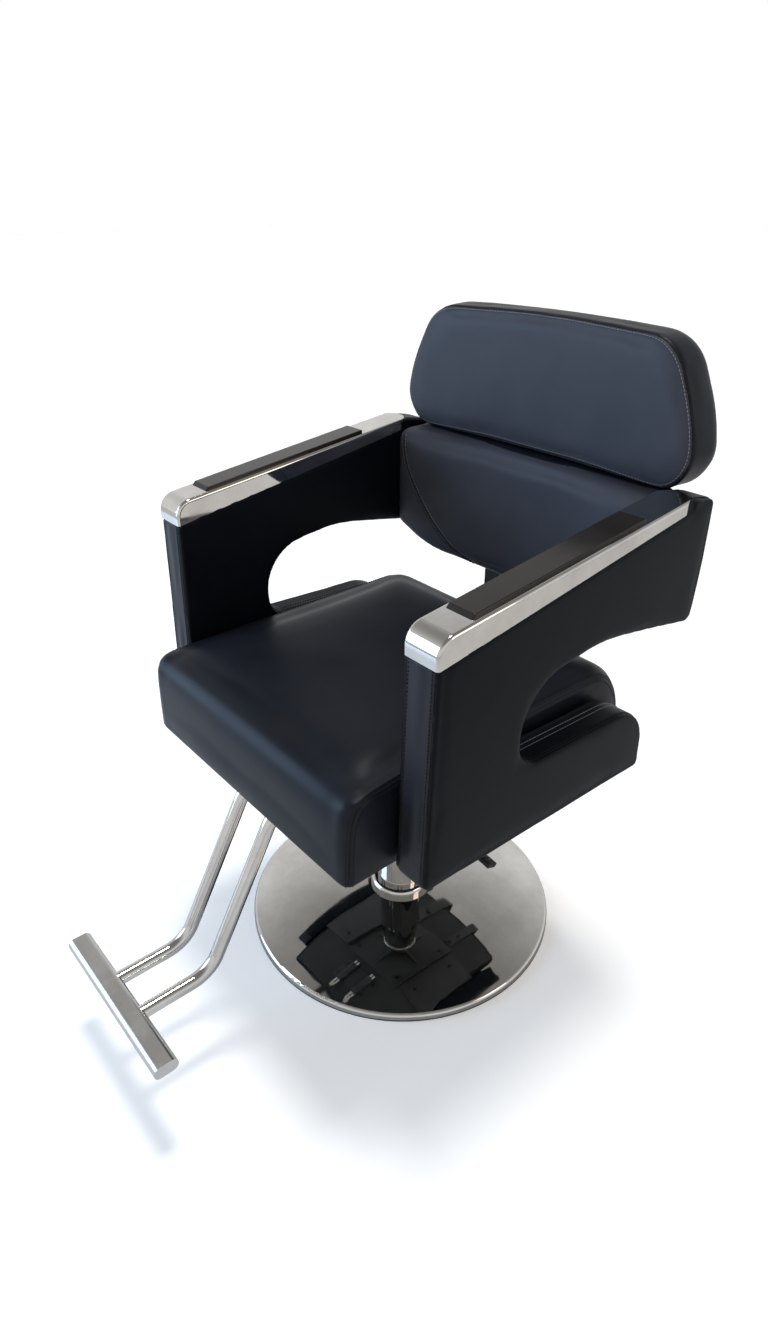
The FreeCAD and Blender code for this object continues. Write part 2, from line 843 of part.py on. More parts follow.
def makeSeatPlate():
    body = newBody("seat_plate")
    halfWidth = size.seatPlateWidth / 2
    halfLength = size.seatPlateLength / 2
    plate = [(-halfWidth, -halfLength, size.seatPlateRound), (halfWidth, -halfLength, size.seatPlateRound),
             (halfWidth, halfLength, size.seatPlateRound), (-halfWidth, halfLength, size.seatPlateRound)]
    pad(body, sketchOn(body, "XY_Plane", roundedLoop(plate), "Sizes.seatBottom"),
        "Sizes.seatPlateThickness", reverse=True)
    flangeEnd = halfLength - size.seatPlateRound
    flanges = []
    for side in (-1, 1):
        outer = side * halfWidth
        inner = side * (halfWidth - size.seatPlateThickness)
        flanges += roundedLoop([(inner, -flangeEnd), (outer, -flangeEnd), (outer, flangeEnd),
                                (inner, flangeEnd)])
    pad(body, sketchOn(body, "XY_Plane", flanges, "Sizes.seatBottom"),
        "Sizes.seatPlateThickness + Sizes.seatFlangeDepth", reverse=True)
    socketFoot = "Sizes.ramShoulder + Sizes.washerThickness"
    pad(body, circlesOn(body, "XY_Plane", [(0, 0)], "Sizes.socketRadius", "Sizes.seatBottom"),
        f"Sizes.seatBottom - ({socketFoot})", reverse=True)
    foot = size.ramShoulder + size.washerThickness + size.seatPlateThickness
    rib = roundedLoop([
        (size.socketRadius * ribRootShare, size.seatBottom - size.seatPlateThickness),
        (size.socketRadius * ribRootShare, foot),
        (size.socketRadius + size.seatPlateThickness, foot),
        (size.ribReach, size.seatBottom - 2 * size.seatPlateThickness),
        (size.ribReach, size.seatBottom - size.seatPlateThickness),
    ])
    gusset = pad(body, sketchOn(body, "XZ_Plane", rib), "Sizes.ribThickness", symmetric=True)
    polarPattern(body, gusset, ribCount)
    drill(body, "XY_Plane", [(0, 0)], "Sizes.spigotRadius + Sizes.runningFit", socketFoot,
          "Sizes.spigotLength + Sizes.runningFit - Sizes.washerThickness + Sizes.ramPlay",
          reverse=True)
    drill(body, "XY_Plane", seatPlateBoltCentres(), "Sizes.seatBoltDiameter / 2", "Sizes.seatBottom",
          "Sizes.seatPlateThickness")
    return body


def seatPlateBoltCentres():
    half = size.seatBoltSpan / 2
    return [(-half, -half), (half, -half), (half, half), (-half, half)]


def underSeatBolts(label, centres, bearingHeight):
    """Hexagon bolts screwed up into the seat board through a steel part that ends at bearingHeight."""
    length = size.seatBottom + size.boardThickness - bearingHeight - size.coverWall
    bolt = hexBolt(size.seatBoltDiameter, length, size.seatBoltHeadWidth, size.seatBoltHeadHeight)
    places = [(Vector(x, y, bearingHeight), Vector(0, 0, 1)) for x, y in centres]
    return fastenerGroup(label, bolt, places)


# Seat

def seatCorners():
    half = size.seatHalfWidth
    return [
        (-half, -size.seatFront, size.seatFrontRound),
        (half, -size.seatFront, size.seatFrontRound),
        (half, size.seatRear, size.seatRearRound),
        (-half, size.seatRear, size.seatRearRound),
    ]


def makeSeatBoard():
    body = newBody("seat_board")
    outline = roundedLoop(insetCorners(seatCorners(), size.boardInset + size.softGap))
    pad(body, sketchOn(body, "XY_Plane", outline, "Sizes.seatBottom"), "Sizes.boardThickness")
    centres = (seatPlateBoltCentres() + armBracketBoltCentres(1) + armBracketBoltCentres(-1)
               + footClampBoltCentres() + uprightSeatBoltCentres())
    drill(body, "XY_Plane", centres, "Sizes.seatBoltDiameter / 2", "Sizes.seatBottom",
          "Sizes.boardThickness", reverse=True)
    return body


def makeSeatCushion():
    """The cushion's plan outline, drawn in at the bottom and rolled over the piped edge to the crown."""
    body = newBody("seat_cushion")
    sections = []
    for number, (riseShare, sideShare, frontShare, rearShare) in enumerate(seatSectionShares):
        side = size.seatHalfWidth * sideShare
        outline = insetCorners(seatCorners(), [size.seatFront * frontShare, side,
                                               size.seatRear * rearShare, side])
        sections.append(sketchOn(body, "XY_Plane", roundedLoop(outline),
                                 f"Sizes.seatBottom + Sizes.seatHeight * {riseShare}"))
    loft(body, sections, ruled=True)
    pocketOutline = roundedLoop(insetCorners(seatCorners(), size.boardInset))
    pocket(body, sketchOn(body, "XY_Plane", pocketOutline, "Sizes.seatBottom"),
           "Sizes.boardThickness + Sizes.softGap", reverse=True)
    return body


# Arms

def armPoint(depthShare, heightShare, roundShare=0):
    return (-size.armFront + size.armDepth * depthShare, size.armBottom + size.armHeight * heightShare,
            size.armHeight * roundShare)


def armTongueCorners():
    """The whole C outline as (depth, height); its top edge lies inside the chrome cap."""
    lining = size.capWall + size.softGap
    return [
        armPoint(*armFrontFootShares),
        (-size.capFront + lining, size.capFrontSkirt - lining),
        (-size.capFront + lining, size.capFrontTop - lining, size.capNoseRound - lining),
        (size.capRear, size.capRearTop - lining),
    ] + [armPoint(*shares) for shares in armRearShares]


def armBodyCorners():
    """The same outline, cut off along the cap's skirt and full behind the cap."""
    gap = size.softGap
    return [
        armPoint(*armFrontFootShares),
        (-size.capFront, size.capFrontSkirt - gap),
        (size.capRear + gap, size.capRearSkirt - gap),
        (size.capRear + gap, size.capRearTop - size.capWall - gap),
    ] + [armPoint(*shares) for shares in armRearShares]


def makeArmPanel():
    body = newBody("arm_panel_left")
    lining = "(Sizes.capWall + Sizes.softGap)"
    tongue = sketchOn(body, "YZ_Plane", roundedLoop(armTongueCorners()),
                      f"Sizes.armInner + {lining}")
    pad(body, tongue, f"Sizes.armWidth - 2 * {lining}")
    fillet(body, "Sizes.capEdgeRound - Sizes.capWall", lambda edge: edge.BoundBox.XLength < tiny)
    pad(body, sketchOn(body, "YZ_Plane", roundedLoop(armBodyCorners()), "Sizes.armInner"),
        "Sizes.armWidth")
    outer = size.armInner + size.armWidth
    skirtSlope = ((size.capRearSkirt - size.capFrontSkirt) / (size.capRear + size.softGap + size.capFront))

    def onSidePerimeter(edge):
        box = edge.BoundBox
        onSide = box.XLength < tiny and min(abs(box.XMin - size.armInner), abs(box.XMin - outer)) < tiny
        middle = edge.valueAt((edge.FirstParameter + edge.LastParameter) / 2)
        skirt = size.capFrontSkirt - size.softGap + skirtSlope * (middle.y + size.capFront)
        onSkirt = abs(middle.z - skirt) < size.softGap and box.YLength > size.armRound
        onStep = box.YLength < tiny and abs(box.YMin - size.capRear - size.softGap) < tiny
        return onSide and not onSkirt and not onStep

    fillet(body, "Sizes.armRound", onSidePerimeter)
    middle = "Sizes.armInner + Sizes.armWidth / 2"
    cavity = insetCorners(armTongueCorners(), size.armCoreInset - size.softGap)
    pocket(body, sketchOn(body, "YZ_Plane", roundedLoop(cavity),
                          f"{middle} + Sizes.armCoreThickness / 2 + Sizes.softGap"),
           "Sizes.armCoreThickness + 2 * Sizes.softGap")
    drill(body, "YZ_Plane", armBoltCentres(), "Sizes.armBoltDiameter / 2 + Sizes.softGap",
          "Sizes.armInner + Sizes.armWidth / 2", "Sizes.armWidth / 2")
    return body


def makeArmCore():
    """The plywood panel inside the arm's padding, which takes the bolts."""
    body = newBody("arm_core_left")
    outline = insetCorners(armTongueCorners(), size.armCoreInset)
    foot = "Sizes.armInner + Sizes.armWidth / 2 - Sizes.armCoreThickness / 2"
    pad(body, sketchOn(body, "YZ_Plane", roundedLoop(outline), foot), "Sizes.armCoreThickness")
    drill(body, "YZ_Plane", armBoltCentres(), "Sizes.armBoltDiameter / 2", foot,
          "Sizes.armCoreThickness", reverse=True)
    return body


def capCorners():
    return [
        (-size.capFront, size.capFrontSkirt),
        (-size.capFront, size.capFrontTop, size.capNoseRound),
        (size.capRear, size.capRearTop),
        (size.capRear, size.capRearSkirt),
    ]


def makeArmCap():
    """The formed chrome cap: skirts on three sides, a bent nose and a rear end rounded in plan."""
    body = newBody("arm_cap_left")
    outer = size.armInner + size.armWidth
    pad(body, sketchOn(body, "YZ_Plane", roundedLoop(capCorners()), "Sizes.armInner"),
        "Sizes.armWidth")
    inside = insetCorners(capCorners(), [size.capWall, size.capWall, -size.overrun, -size.overrun])
    pocket(body, sketchOn(body, "YZ_Plane", roundedLoop(inside),
                          "Sizes.armInner + Sizes.armWidth - Sizes.capWall"),
           "Sizes.armWidth - 2 * Sizes.capWall")

    def onCrest(edge, sides):
        """Holds along the nose and the top, and not on the skirt's lower edge or the open end."""
        box = edge.BoundBox
        onSide = box.XLength < tiny and min(abs(box.XMin - side) for side in sides) < tiny
        middle = edge.valueAt((edge.FirstParameter + edge.LastParameter) / 2)
        skirtSlope = (size.capRearSkirt - size.capFrontSkirt) / (size.capRear + size.capFront)
        skirt = size.capFrontSkirt + skirtSlope * (middle.y + size.capFront)
        return onSide and middle.z > skirt + tiny and abs(box.YMin - size.capRear) > tiny

    fillet(body, "Sizes.capEdgeRound - Sizes.capWall",
           lambda edge: onCrest(edge, (size.armInner + size.capWall, outer - size.capWall)))
    fillet(body, "Sizes.capEdgeRound", lambda edge: onCrest(edge, (size.armInner, outer)))
    beyond = size.capRear + size.overrun
    start = size.capRear - size.capEndRound - size.overrun
    endTrim = roundedLoop([
        (size.armInner - size.overrun, beyond),
        (size.armInner - size.overrun, start),
        (size.armInner, start),
        (size.armInner, size.capRear, size.capEndRound),
        (outer, size.capRear, size.capEndRound),
        (outer, start),
        (outer + size.overrun, start),
        (outer + size.overrun, beyond),
    ])
    pocket(body, sketchOn(body, "XY_Plane", endTrim, "Sizes.capRearTop + Sizes.overrun"),
           "Sizes.capRearTop - Sizes.capFrontSkirt + 2 * Sizes.overrun")
    return body


def capTopAt(depth):
    slope = (size.capRearTop - size.capFrontTop) / (size.capRear + size.capFront)
    return size.capFrontTop + slope * (depth + size.capFront)


def makeArmRest():
    """The thin strip that lies on the cap's sloping top."""
    body = newBody("armrest_left")
    front = -size.restFront
    rear = size.restRear
    outline = roundedLoop([
        (front, capTopAt(front)),
        (front + size.restHeight, capTopAt(front + size.restHeight) + size.restHeight, size.restRound),
        (rear, capTopAt(rear) + size.restHeight, size.restRound),
        (rear, capTopAt(rear)),
    ])
    pad(body, sketchOn(body, "YZ_Plane", outline, "Sizes.armInner + Sizes.restInset"),
        "Sizes.armWidth - 2 * Sizes.restInset")
    inner = size.armInner + size.restInset
    outer = size.armInner + size.armWidth - size.restInset

    def onTopEdge(edge):
        box = edge.BoundBox
        middle = edge.valueAt((edge.FirstParameter + edge.LastParameter) / 2)
        onSide = box.XLength < tiny and min(abs(box.XMin - inner), abs(box.XMin - outer)) < tiny
        return onSide and box.YLength > size.armRound and middle.z > capTopAt(middle.y) + size.restRound

    fillet(body, "Sizes.restRound", onTopEdge)
    return body


def armBoltCentres():
    half = size.armBoltSpan / 2
    height = size.seatBottom + size.armBracketRise / 2
    return [(-half, height), (half, height)]


def armBracketBoltCentres(side):
    reach = side * (size.armBracketFoot + size.armBracketHole)
    half = size.armBoltSpan / 2
    return [(reach, -half), (reach, half)]


def makeArmBracket():
    """The steel angle between the seat board's underside and the arm's inner face."""
    body = newBody("arm_bracket_left")
    face = size.armInner - size.softGap
    thickness = size.armBracketThickness
    foot = size.seatBottom - thickness
    corners = [
        (size.armBracketFoot, foot),
        (face, foot, size.armBracketRound),
        (face, size.seatBottom + size.armBracketRise),
        (face - thickness, size.seatBottom + size.armBracketRise),
        (face - thickness, size.seatBottom, size.armBracketRound - thickness),
        (size.armBracketFoot, size.seatBottom),
    ]
    pad(body, sketchOn(body, "XZ_Plane", roundedLoop(corners)), "Sizes.armBracketLength",
        symmetric=True)
    drill(body, "YZ_Plane", armBoltCentres(), "Sizes.armBoltDiameter / 2 + Sizes.runningFit",
          "Sizes.armInner", "Sizes.armBracketThickness + Sizes.overrun")
    drill(body, "XY_Plane", armBracketBoltCentres(1), "Sizes.seatBoltDiameter / 2 + Sizes.runningFit",
          "Sizes.seatBottom", "Sizes.armBracketThickness")
    return body


def makeArmBolts():
    start = size.armInner - size.softGap - size.armBracketThickness
    end = size.armInner + size.armWidth / 2 + size.armCoreThickness / 2 - size.coverWall
    bolt = panBolt(size.armBoltDiameter, end - start, size.armBoltHead, size.armBoltHeadHeight)
    places = []
    for side in (-1, 1):
        for depth, height in armBoltCentres():
            places.append((Vector(side * start, depth, height), Vector(side, 0, 0)))
    return fastenerGroup("arm_bolts", bolt, places)


# Lower back

def backCorners():
    """The lower back seen from the front: straight sides, and a lower edge that curves down."""
    half = size.backHalfWidth
    dip = size.backDipHalfWidth
    return [
        (-half, size.backSideBottom, size.backBottomRound),
        (-dip, size.backDipBottom, size.backDipRound),
        (0, size.backMiddleBottom, size.backMiddleRound),
        (dip, size.backDipBottom, size.backDipRound),
        (half, size.backSideBottom, size.backBottomRound),
        (half, size.backTop),
        (-half, size.backTop),
    ]


def hollowFront(body, halfWidth, front, hollow, top, height):
    """Cuts the front face to a shallow upright hollow that is deepest in the middle."""
    radius = (halfWidth ** 2 + hollow ** 2) / (2 * hollow)
    reach = halfWidth + size.overrun
    centre = -(radius - hollow) + front
    edge = centre + math.sqrt(radius ** 2 - reach ** 2)
    ahead = front - 2 * hollow - size.backFront
    arc = Part.Arc(Vector(-reach, edge, 0), Vector(0, centre + radius, 0), Vector(reach, edge, 0))
    outline = [
        arc,
        Part.LineSegment(Vector(reach, edge, 0), Vector(reach, ahead, 0)),
        Part.LineSegment(Vector(reach, ahead, 0), Vector(-reach, ahead, 0)),
        Part.LineSegment(Vector(-reach, ahead, 0), Vector(-reach, edge, 0)),
    ]
    return pocket(body, sketchOn(body, "XY_Plane", outline, top), height)


def makeLowerBack():
    body = newBody("lower_back_pad")
    pad(body, sketchOn(body, "XZ_Plane", roundedLoop(backCorners()), "-Sizes.backRear"),
        "Sizes.backRear - Sizes.backFront + Sizes.overrun")
    hollowFront(body, size.backHalfWidth, size.backFront, size.backHollow,
                "Sizes.backTop + Sizes.overrun",
                "Sizes.backTop - Sizes.backMiddleBottom + 2 * Sizes.overrun")

    def onFrontTop(edge):
        box = edge.BoundBox
        return box.ZMin > size.backTop - tiny and box.YMax < size.backRear - tiny and box.XLength > tiny

    def onFrontBottom(edge):
        box = edge.BoundBox
        low = box.ZMax < size.backSideBottom + 2 * size.backBottomRound
        return low and box.YMax < size.backRear - size.backBoardThickness and box.XLength > tiny

    fillet(body, "Sizes.backTopRound", onFrontTop)
    fillet(body, "Sizes.backBottomRound", onFrontBottom)
    board = roundedLoop(insetCorners(backCorners(), size.backBoardInset))
    pocket(body, sketchOn(body, "XZ_Plane", board, "-Sizes.backRear"),
           "Sizes.backBoardThickness + Sizes.softGap", reverse=True)
    return body


def makeBackBoard():
    body = newBody("lower_back_board")
    board = roundedLoop(insetCorners(backCorners(), size.backBoardInset + size.softGap))
    pad(body, sketchOn(body, "XZ_Plane", board, "-Sizes.backRear"), "Sizes.backBoardThickness")
    drill(body, "XZ_Plane", uprightBackBoltCentres(), "Sizes.seatBoltDiameter / 2",
          "-Sizes.backRear", "Sizes.backBoardThickness", reverse=True)
    drill(body, "XZ_Plane", lowerLeafScrewCentres(), "Sizes.leafScrewDiameter / 2",
          "-Sizes.backRear", "Sizes.backBoardThickness", reverse=True)
    return body


def uprightSeatBoltCentres():
    front = size.uprightFront + size.seatBoltHeadWidth
    return [(side * size.uprightSpacing, front + step * size.uprightBoltPitch)
            for side in (-1, 1) for step in (0, 1)]


def uprightBackBoltCentres():
    top = size.uprightTop - size.seatBoltHeadWidth
    return [(side * size.uprightSpacing, top - step * size.uprightBoltPitch)
            for side in (-1, 1) for step in (0, 1)]


def makeBackUpright():
    """The flat bar bent up from under the seat board to the back board."""
    body = newBody("back_upright_left")
    thickness = size.uprightThickness
    corners = [
        (size.uprightFront, size.seatBottom - thickness),
        (size.backRear + thickness, size.seatBottom - thickness, size.uprightBend + thickness),
        (size.backRear + thickness, size.uprightTop),
        (size.backRear, size.uprightTop),
        (size.backRear, size.seatBottom, size.uprightBend),
        (size.uprightFront, size.seatBottom),
    ]
    pad(body, sketchOn(body, "YZ_Plane", roundedLoop(corners),
                       "Sizes.uprightSpacing - Sizes.uprightWidth / 2"), "Sizes.uprightWidth")
    seatHoles = [place for place in uprightSeatBoltCentres() if place[0] > 0]
    backHoles = [place for place in uprightBackBoltCentres() if place[0] > 0]
    drill(body, "XY_Plane", seatHoles, "Sizes.seatBoltDiameter / 2 + Sizes.runningFit",
          "Sizes.seatBottom", "Sizes.uprightThickness")
    drill(body, "XZ_Plane", backHoles, "Sizes.seatBoltDiameter / 2 + Sizes.runningFit",
          "-Sizes.backRear", "Sizes.uprightThickness")
    return body


def makeUprightBolts():
    head = size.seatBoltHeadHeight
    seatLength = size.uprightThickness + size.boardThickness - size.coverWall
    backLength = size.uprightThickness + size.backBoardThickness - size.coverWall
    fasteners = []
    for x, y in uprightSeatBoltCentres():
        fasteners.append((seatLength, Vector(x, y, size.seatBottom - size.uprightThickness),
                          Vector(0, 0, 1)))
    for x, z in uprightBackBoltCentres():
        fasteners.append((backLength, Vector(x, size.backRear + size.uprightThickness, z),
                          Vector(0, -1, 0)))
    group = doc.addObject("Part::Feature", "upright_bolts")
    group.Label = "upright_bolts"
    solids = []
    for length, position, direction in fasteners:
        bolt = hexBolt(size.seatBoltDiameter, length, size.seatBoltHeadWidth, head)
        bolt.Placement = Placement(position, Rotation(Vector(0, 0, 1), direction))
        solids.append(bolt)
    group.Shape = Part.makeCompound(solids)
    return group


# Head pad and its hinges

def headCorners():
    """The head pad seen from the front: bowed sides that draw in upwards, and a crowned top edge."""
    return [
        (-size.headHalfWidth, size.headBottom, size.headBottomRound),
        (size.headHalfWidth, size.headBottom, size.headBottomRound),
        (size.headMiddleHalfWidth, size.headMiddle, size.headMiddleRound),
        (size.headTopHalfWidth, size.headTop - size.headCrown, size.headTopRound),
        (0, size.headTop + size.headCrown * crownApexShare, size.headCrownRound),
        (-size.headTopHalfWidth, size.headTop - size.headCrown, size.headTopRound),
        (-size.headMiddleHalfWidth, size.headMiddle, size.headMiddleRound),
    ]


def makeHeadPad():
    """Side walls drawn in towards the front and the back, and a hollow front face."""
    body = newBody("head_pad")
    sections = []
    for depthShare, insetShare in headSectionShares:
        outline = insetCorners(headCorners(), size.headEdgeRound * insetShare)
        sections.append(sketchOn(body, "XZ_Plane", roundedLoop(outline),
                                 f"-Sizes.headRear + {depthShare} * "
                                 "(Sizes.headRear - Sizes.headFront + Sizes.overrun)"))
    loft(body, sections)
    hollowFront(body, size.headHalfWidth, size.headFront, size.headHollow,
                "Sizes.headTop + Sizes.overrun",
                "Sizes.headTop - Sizes.headBottom + 2 * Sizes.overrun")
    fillet(body, "Sizes.headEdgeRound",
           lambda edge: edge.BoundBox.YMax < size.headFront + size.headHollow + tiny)
    board = roundedLoop(insetCorners(headCorners(), size.headBoardInset))
    pocket(body, sketchOn(body, "XZ_Plane", board, "-Sizes.headRear"),
           "Sizes.headBoardThickness + Sizes.softGap", reverse=True)
    return body


def makeHeadBoard():
    body = newBody("head_board")
    board = roundedLoop(insetCorners(headCorners(), size.headBoardInset + size.softGap))
    pad(body, sketchOn(body, "XZ_Plane", board, "-Sizes.headRear"), "Sizes.headBoardThickness")
    drill(body, "XZ_Plane", upperLeafScrewCentres(), "Sizes.leafScrewDiameter / 2",
          "-Sizes.headRear", "Sizes.headBoardThickness", reverse=True)
    return body


def lowerLeafScrewCentres():
    bottom = size.hingeAxisHeight - size.lowerLeafLength + size.leafScrewPitch * leafScrewEndShare
    return [(side * size.hingeSpacing, bottom + step * size.leafScrewPitch)
            for side in (-1, 1) for step in (0, 1)]


def upperLeafScrewCentres():
    top = size.hingeAxisHeight + size.upperLeafLength - size.leafScrewPitch * leafScrewEndShare
    return [(side * size.hingeSpacing, top - step * size.leafScrewPitch)
            for side in (-1, 1) for step in (0, 1)]


def makeLowerHinge():
    """The fixed leaf: screwed to the back board, with the middle knuckle at its top."""
    body = newBody("hinge_lower_left")
    axis = (size.hingeAxisReach, size.hingeAxisHeight)
    foot = "Sizes.hingeSpacing - Sizes.hingeWidth / 2"
    rear = size.backRear + size.leafThickness
    leafBottom = size.hingeAxisHeight - size.lowerLeafLength
    leafTop = size.hingeAxisHeight - size.hingeBarrel - size.leafThickness
    leaf = roundedLoop([(size.backRear, leafBottom), (rear, leafBottom), (rear, leafTop),
                        (size.backRear, leafTop)])
    pad(body, sketchOn(body, "YZ_Plane", leaf, foot), "Sizes.hingeWidth")
    middleFoot = "Sizes.hingeSpacing - Sizes.hingeMiddleWidth / 2"
    neck = roundedLoop([
        (size.backRear, size.hingeAxisHeight - 2 * size.hingeBarrel),
        (rear, size.hingeAxisHeight - 2 * size.hingeBarrel),
        (axis[0], size.hingeAxisHeight - size.hingeBarrel),
        (axis[0], size.hingeAxisHeight),
        (size.backRear, size.hingeAxisHeight),
    ])
    pad(body, sketchOn(body, "YZ_Plane", neck, middleFoot), "Sizes.hingeMiddleWidth")
    pad(body, circlesOn(body, "YZ_Plane", [axis], "Sizes.hingeBarrel", middleFoot),
        "Sizes.hingeMiddleWidth")
    drill(body, "YZ_Plane", [axis], "Sizes.hingePinRadius",
          "Sizes.hingeSpacing + Sizes.hingeWidth / 2", "Sizes.hingeWidth")
    screws = [place for place in lowerLeafScrewCentres() if place[0] > 0]
    drill(body, "XZ_Plane", screws, "Sizes.leafScrewDiameter / 2 + Sizes.runningFit",
          "-Sizes.backRear - Sizes.leafThickness", "Sizes.leafThickness", reverse=True)
    return body


def makeUpperHinge():
    """The moving leaf: two outer knuckles and a cranked leaf up the head board."""
    body = newBody("hinge_upper_left")
    axis = (size.hingeAxisReach, size.hingeAxisHeight)
    foot = "Sizes.hingeSpacing - Sizes.hingeWidth / 2"
    front = size.headRear
    rear = size.headRear + size.leafThickness
    crankTop = size.hingeAxisHeight + size.hingeBarrel
    crankBottom = crankTop - size.crankThickness
    crank = roundedLoop([
        (axis[0], crankBottom),
        (rear, crankBottom, size.crankThickness),
        (rear, size.hingeAxisHeight + size.upperLeafLength),
        (front, size.hingeAxisHeight + size.upperLeafLength),
        (front, crankTop),
        (axis[0], crankTop),
    ])
    pad(body, sketchOn(body, "YZ_Plane", crank, foot), "Sizes.hingeWidth")
    pad(body, circlesOn(body, "YZ_Plane", [axis], "Sizes.hingeBarrel", foot), "Sizes.hingeWidth")
    slot = "Sizes.hingeMiddleWidth + 2 * Sizes.softGap"
    drill(body, "YZ_Plane", [axis], "Sizes.hingeBarrel + Sizes.softGap",
          f"Sizes.hingeSpacing + ({slot}) / 2", slot)
    drill(body, "YZ_Plane", [axis], "Sizes.hingePinRadius + Sizes.runningFit",
          "Sizes.hingeSpacing + Sizes.hingeWidth / 2", "Sizes.hingeWidth")
    screws = [place for place in upperLeafScrewCentres() if place[0] > 0]
    drill(body, "XZ_Plane", screws, "Sizes.leafScrewDiameter / 2 + Sizes.runningFit",
          "-Sizes.headRear - Sizes.leafThickness", "Sizes.leafThickness", reverse=True)
    return body


def makeHingePins():
    """Both pins, each with a shallow head at its two ends."""
    half = size.hingeWidth / 2 + size.softGap
    pin = Part.makeCylinder(size.hingePinRadius, 2 * half, Vector(0, 0, -half))
    for foot in (-half - size.hingePinHead, half):
        head = Part.makeCylinder(size.hingePinRadius + size.hingePinHead, size.hingePinHead,
                                 Vector(0, 0, foot))
        pin = pin.fuse(head)
    pin = pin.removeSplitter()
    places = [(Vector(side * size.hingeSpacing, size.hingeAxisReach, size.hingeAxisHeight),
               Vector(side, 0, 0)) for side in (-1, 1)]
    return fastenerGroup("hinge_pins", pin, places)


def makeLeafScrews(label, centres, rear):
    screw = panBolt(size.leafScrewDiameter, size.leafScrewLength, 2 * size.leafScrewDiameter,
                    size.leafScrewHead)
    places = [(Vector(x, rear, z), Vector(0, -1, 0)) for x, z in centres]
    return fastenerGroup(label, screw, places)


# Footrest

def footTubePath():
    """Forward from the bar, up at a slope and back under the seat, with two bends."""
    upper = size.seatBottom - size.softGap - size.footTubeRadius
    places = [
        Vector(-size.footBarReach, size.footTubeHeight, 0),
        Vector(-size.footLowerCorner, size.footTubeHeight, 0),
        Vector(-size.footUpperCorner, upper, 0),
        Vector(-size.footTubeRear, upper, 0),
    ]
    edges = []
    start = places[0]
    for index in (1, 2):
        here = places[index]
        toBefore = (places[index - 1] - here).normalize()
        toAfter = (places[index + 1] - here).normalize()
        half = toBefore.getAngle(toAfter) / 2
        tangent = size.footBendRadius / math.tan(half)
        bisector = (toBefore + toAfter).normalize()
        middle = here + bisector * (size.footBendRadius / math.sin(half) - size.footBendRadius)
        edges.append(Part.LineSegment(start, here + toBefore * tangent))
        edges.append(Part.Arc(here + toBefore * tangent, middle, here + toAfter * tangent))
        start = here + toAfter * tangent
    edges.append(Part.LineSegment(start, places[3]))
    return edges


def makeFootTube():
    body = newBody("footrest_tube_left")
    path = sketchOn(body, "YZ_Plane", footTubePath(), "Sizes.footTubeSpacing")
    place = Vector(size.footTubeSpacing, size.footTubeHeight, 0)
    rings = [Part.Circle(place, Vector(0, 0, 1), size.footTubeRadius),
             Part.Circle(place, Vector(0, 0, 1), size.footTubeRadius - size.footTubeWall)]
    profile = sketchOn(body, "XZ_Plane", rings, "Sizes.footBarReach")
    tube = body.newObject("PartDesign::AdditivePipe", "footrest_tube_left_pipe")
    tube.Profile = profile
    tube.Spine = (path, [f"Edge{number}" for number in range(1, len(footTubePath()) + 1)])
    checkedFeature(body, tube, removes=False)
    pocket(body, sketchOn(body, "YZ_Plane", barOutline(0),
                          "Sizes.footTubeSpacing + 2 * Sizes.footTubeRadius"),
           "4 * Sizes.footTubeRadius")
    return body


def barOutline(inset):
    """The cross bar's section: flat at the top and bottom, round at the front and the rear."""
    halfDepth = size.footBarDepth / 2 - inset
    halfHeight = size.footBarHeight / 2 - inset
    return roundedLoop([(-size.footBarReach + y * halfDepth, size.footBarHeightCentre + z * halfHeight,
                         halfHeight * roundEndShare) for y, z in ((-1, -1), (1, -1), (1, 1), (-1, 1))])


def makeFootBar():
    body = newBody("footrest_bar")
    pad(body, sketchOn(body, "YZ_Plane", barOutline(0) + barOutline(size.footTubeWall)),
        "Sizes.footBarLength - 2 * Sizes.footCapThickness", symmetric=True)
    return body


def makeFootEndCap():
    body = newBody("footrest_end_cap_left")
    inner = "Sizes.footBarLength / 2 - Sizes.footCapThickness"
    pad(body, sketchOn(body, "YZ_Plane", barOutline(0), inner), "Sizes.footCapThickness")
    plug = barOutline(size.footTubeWall + size.runningFit)
    pad(body, sketchOn(body, "YZ_Plane", plug, inner), "Sizes.footPlugLength", reverse=True)
    return body


def footClampBoltCentres():
    reach = size.footTubeSpacing + size.footTubeRadius + size.footClampThickness + size.footClampFlange / 2
    middle = -size.footClampFront + size.footClampLength / 2
    return [(side * reach, middle + step * size.footBoltPitch / 2)
            for side in (-1, 1) for step in (-1, 1)]


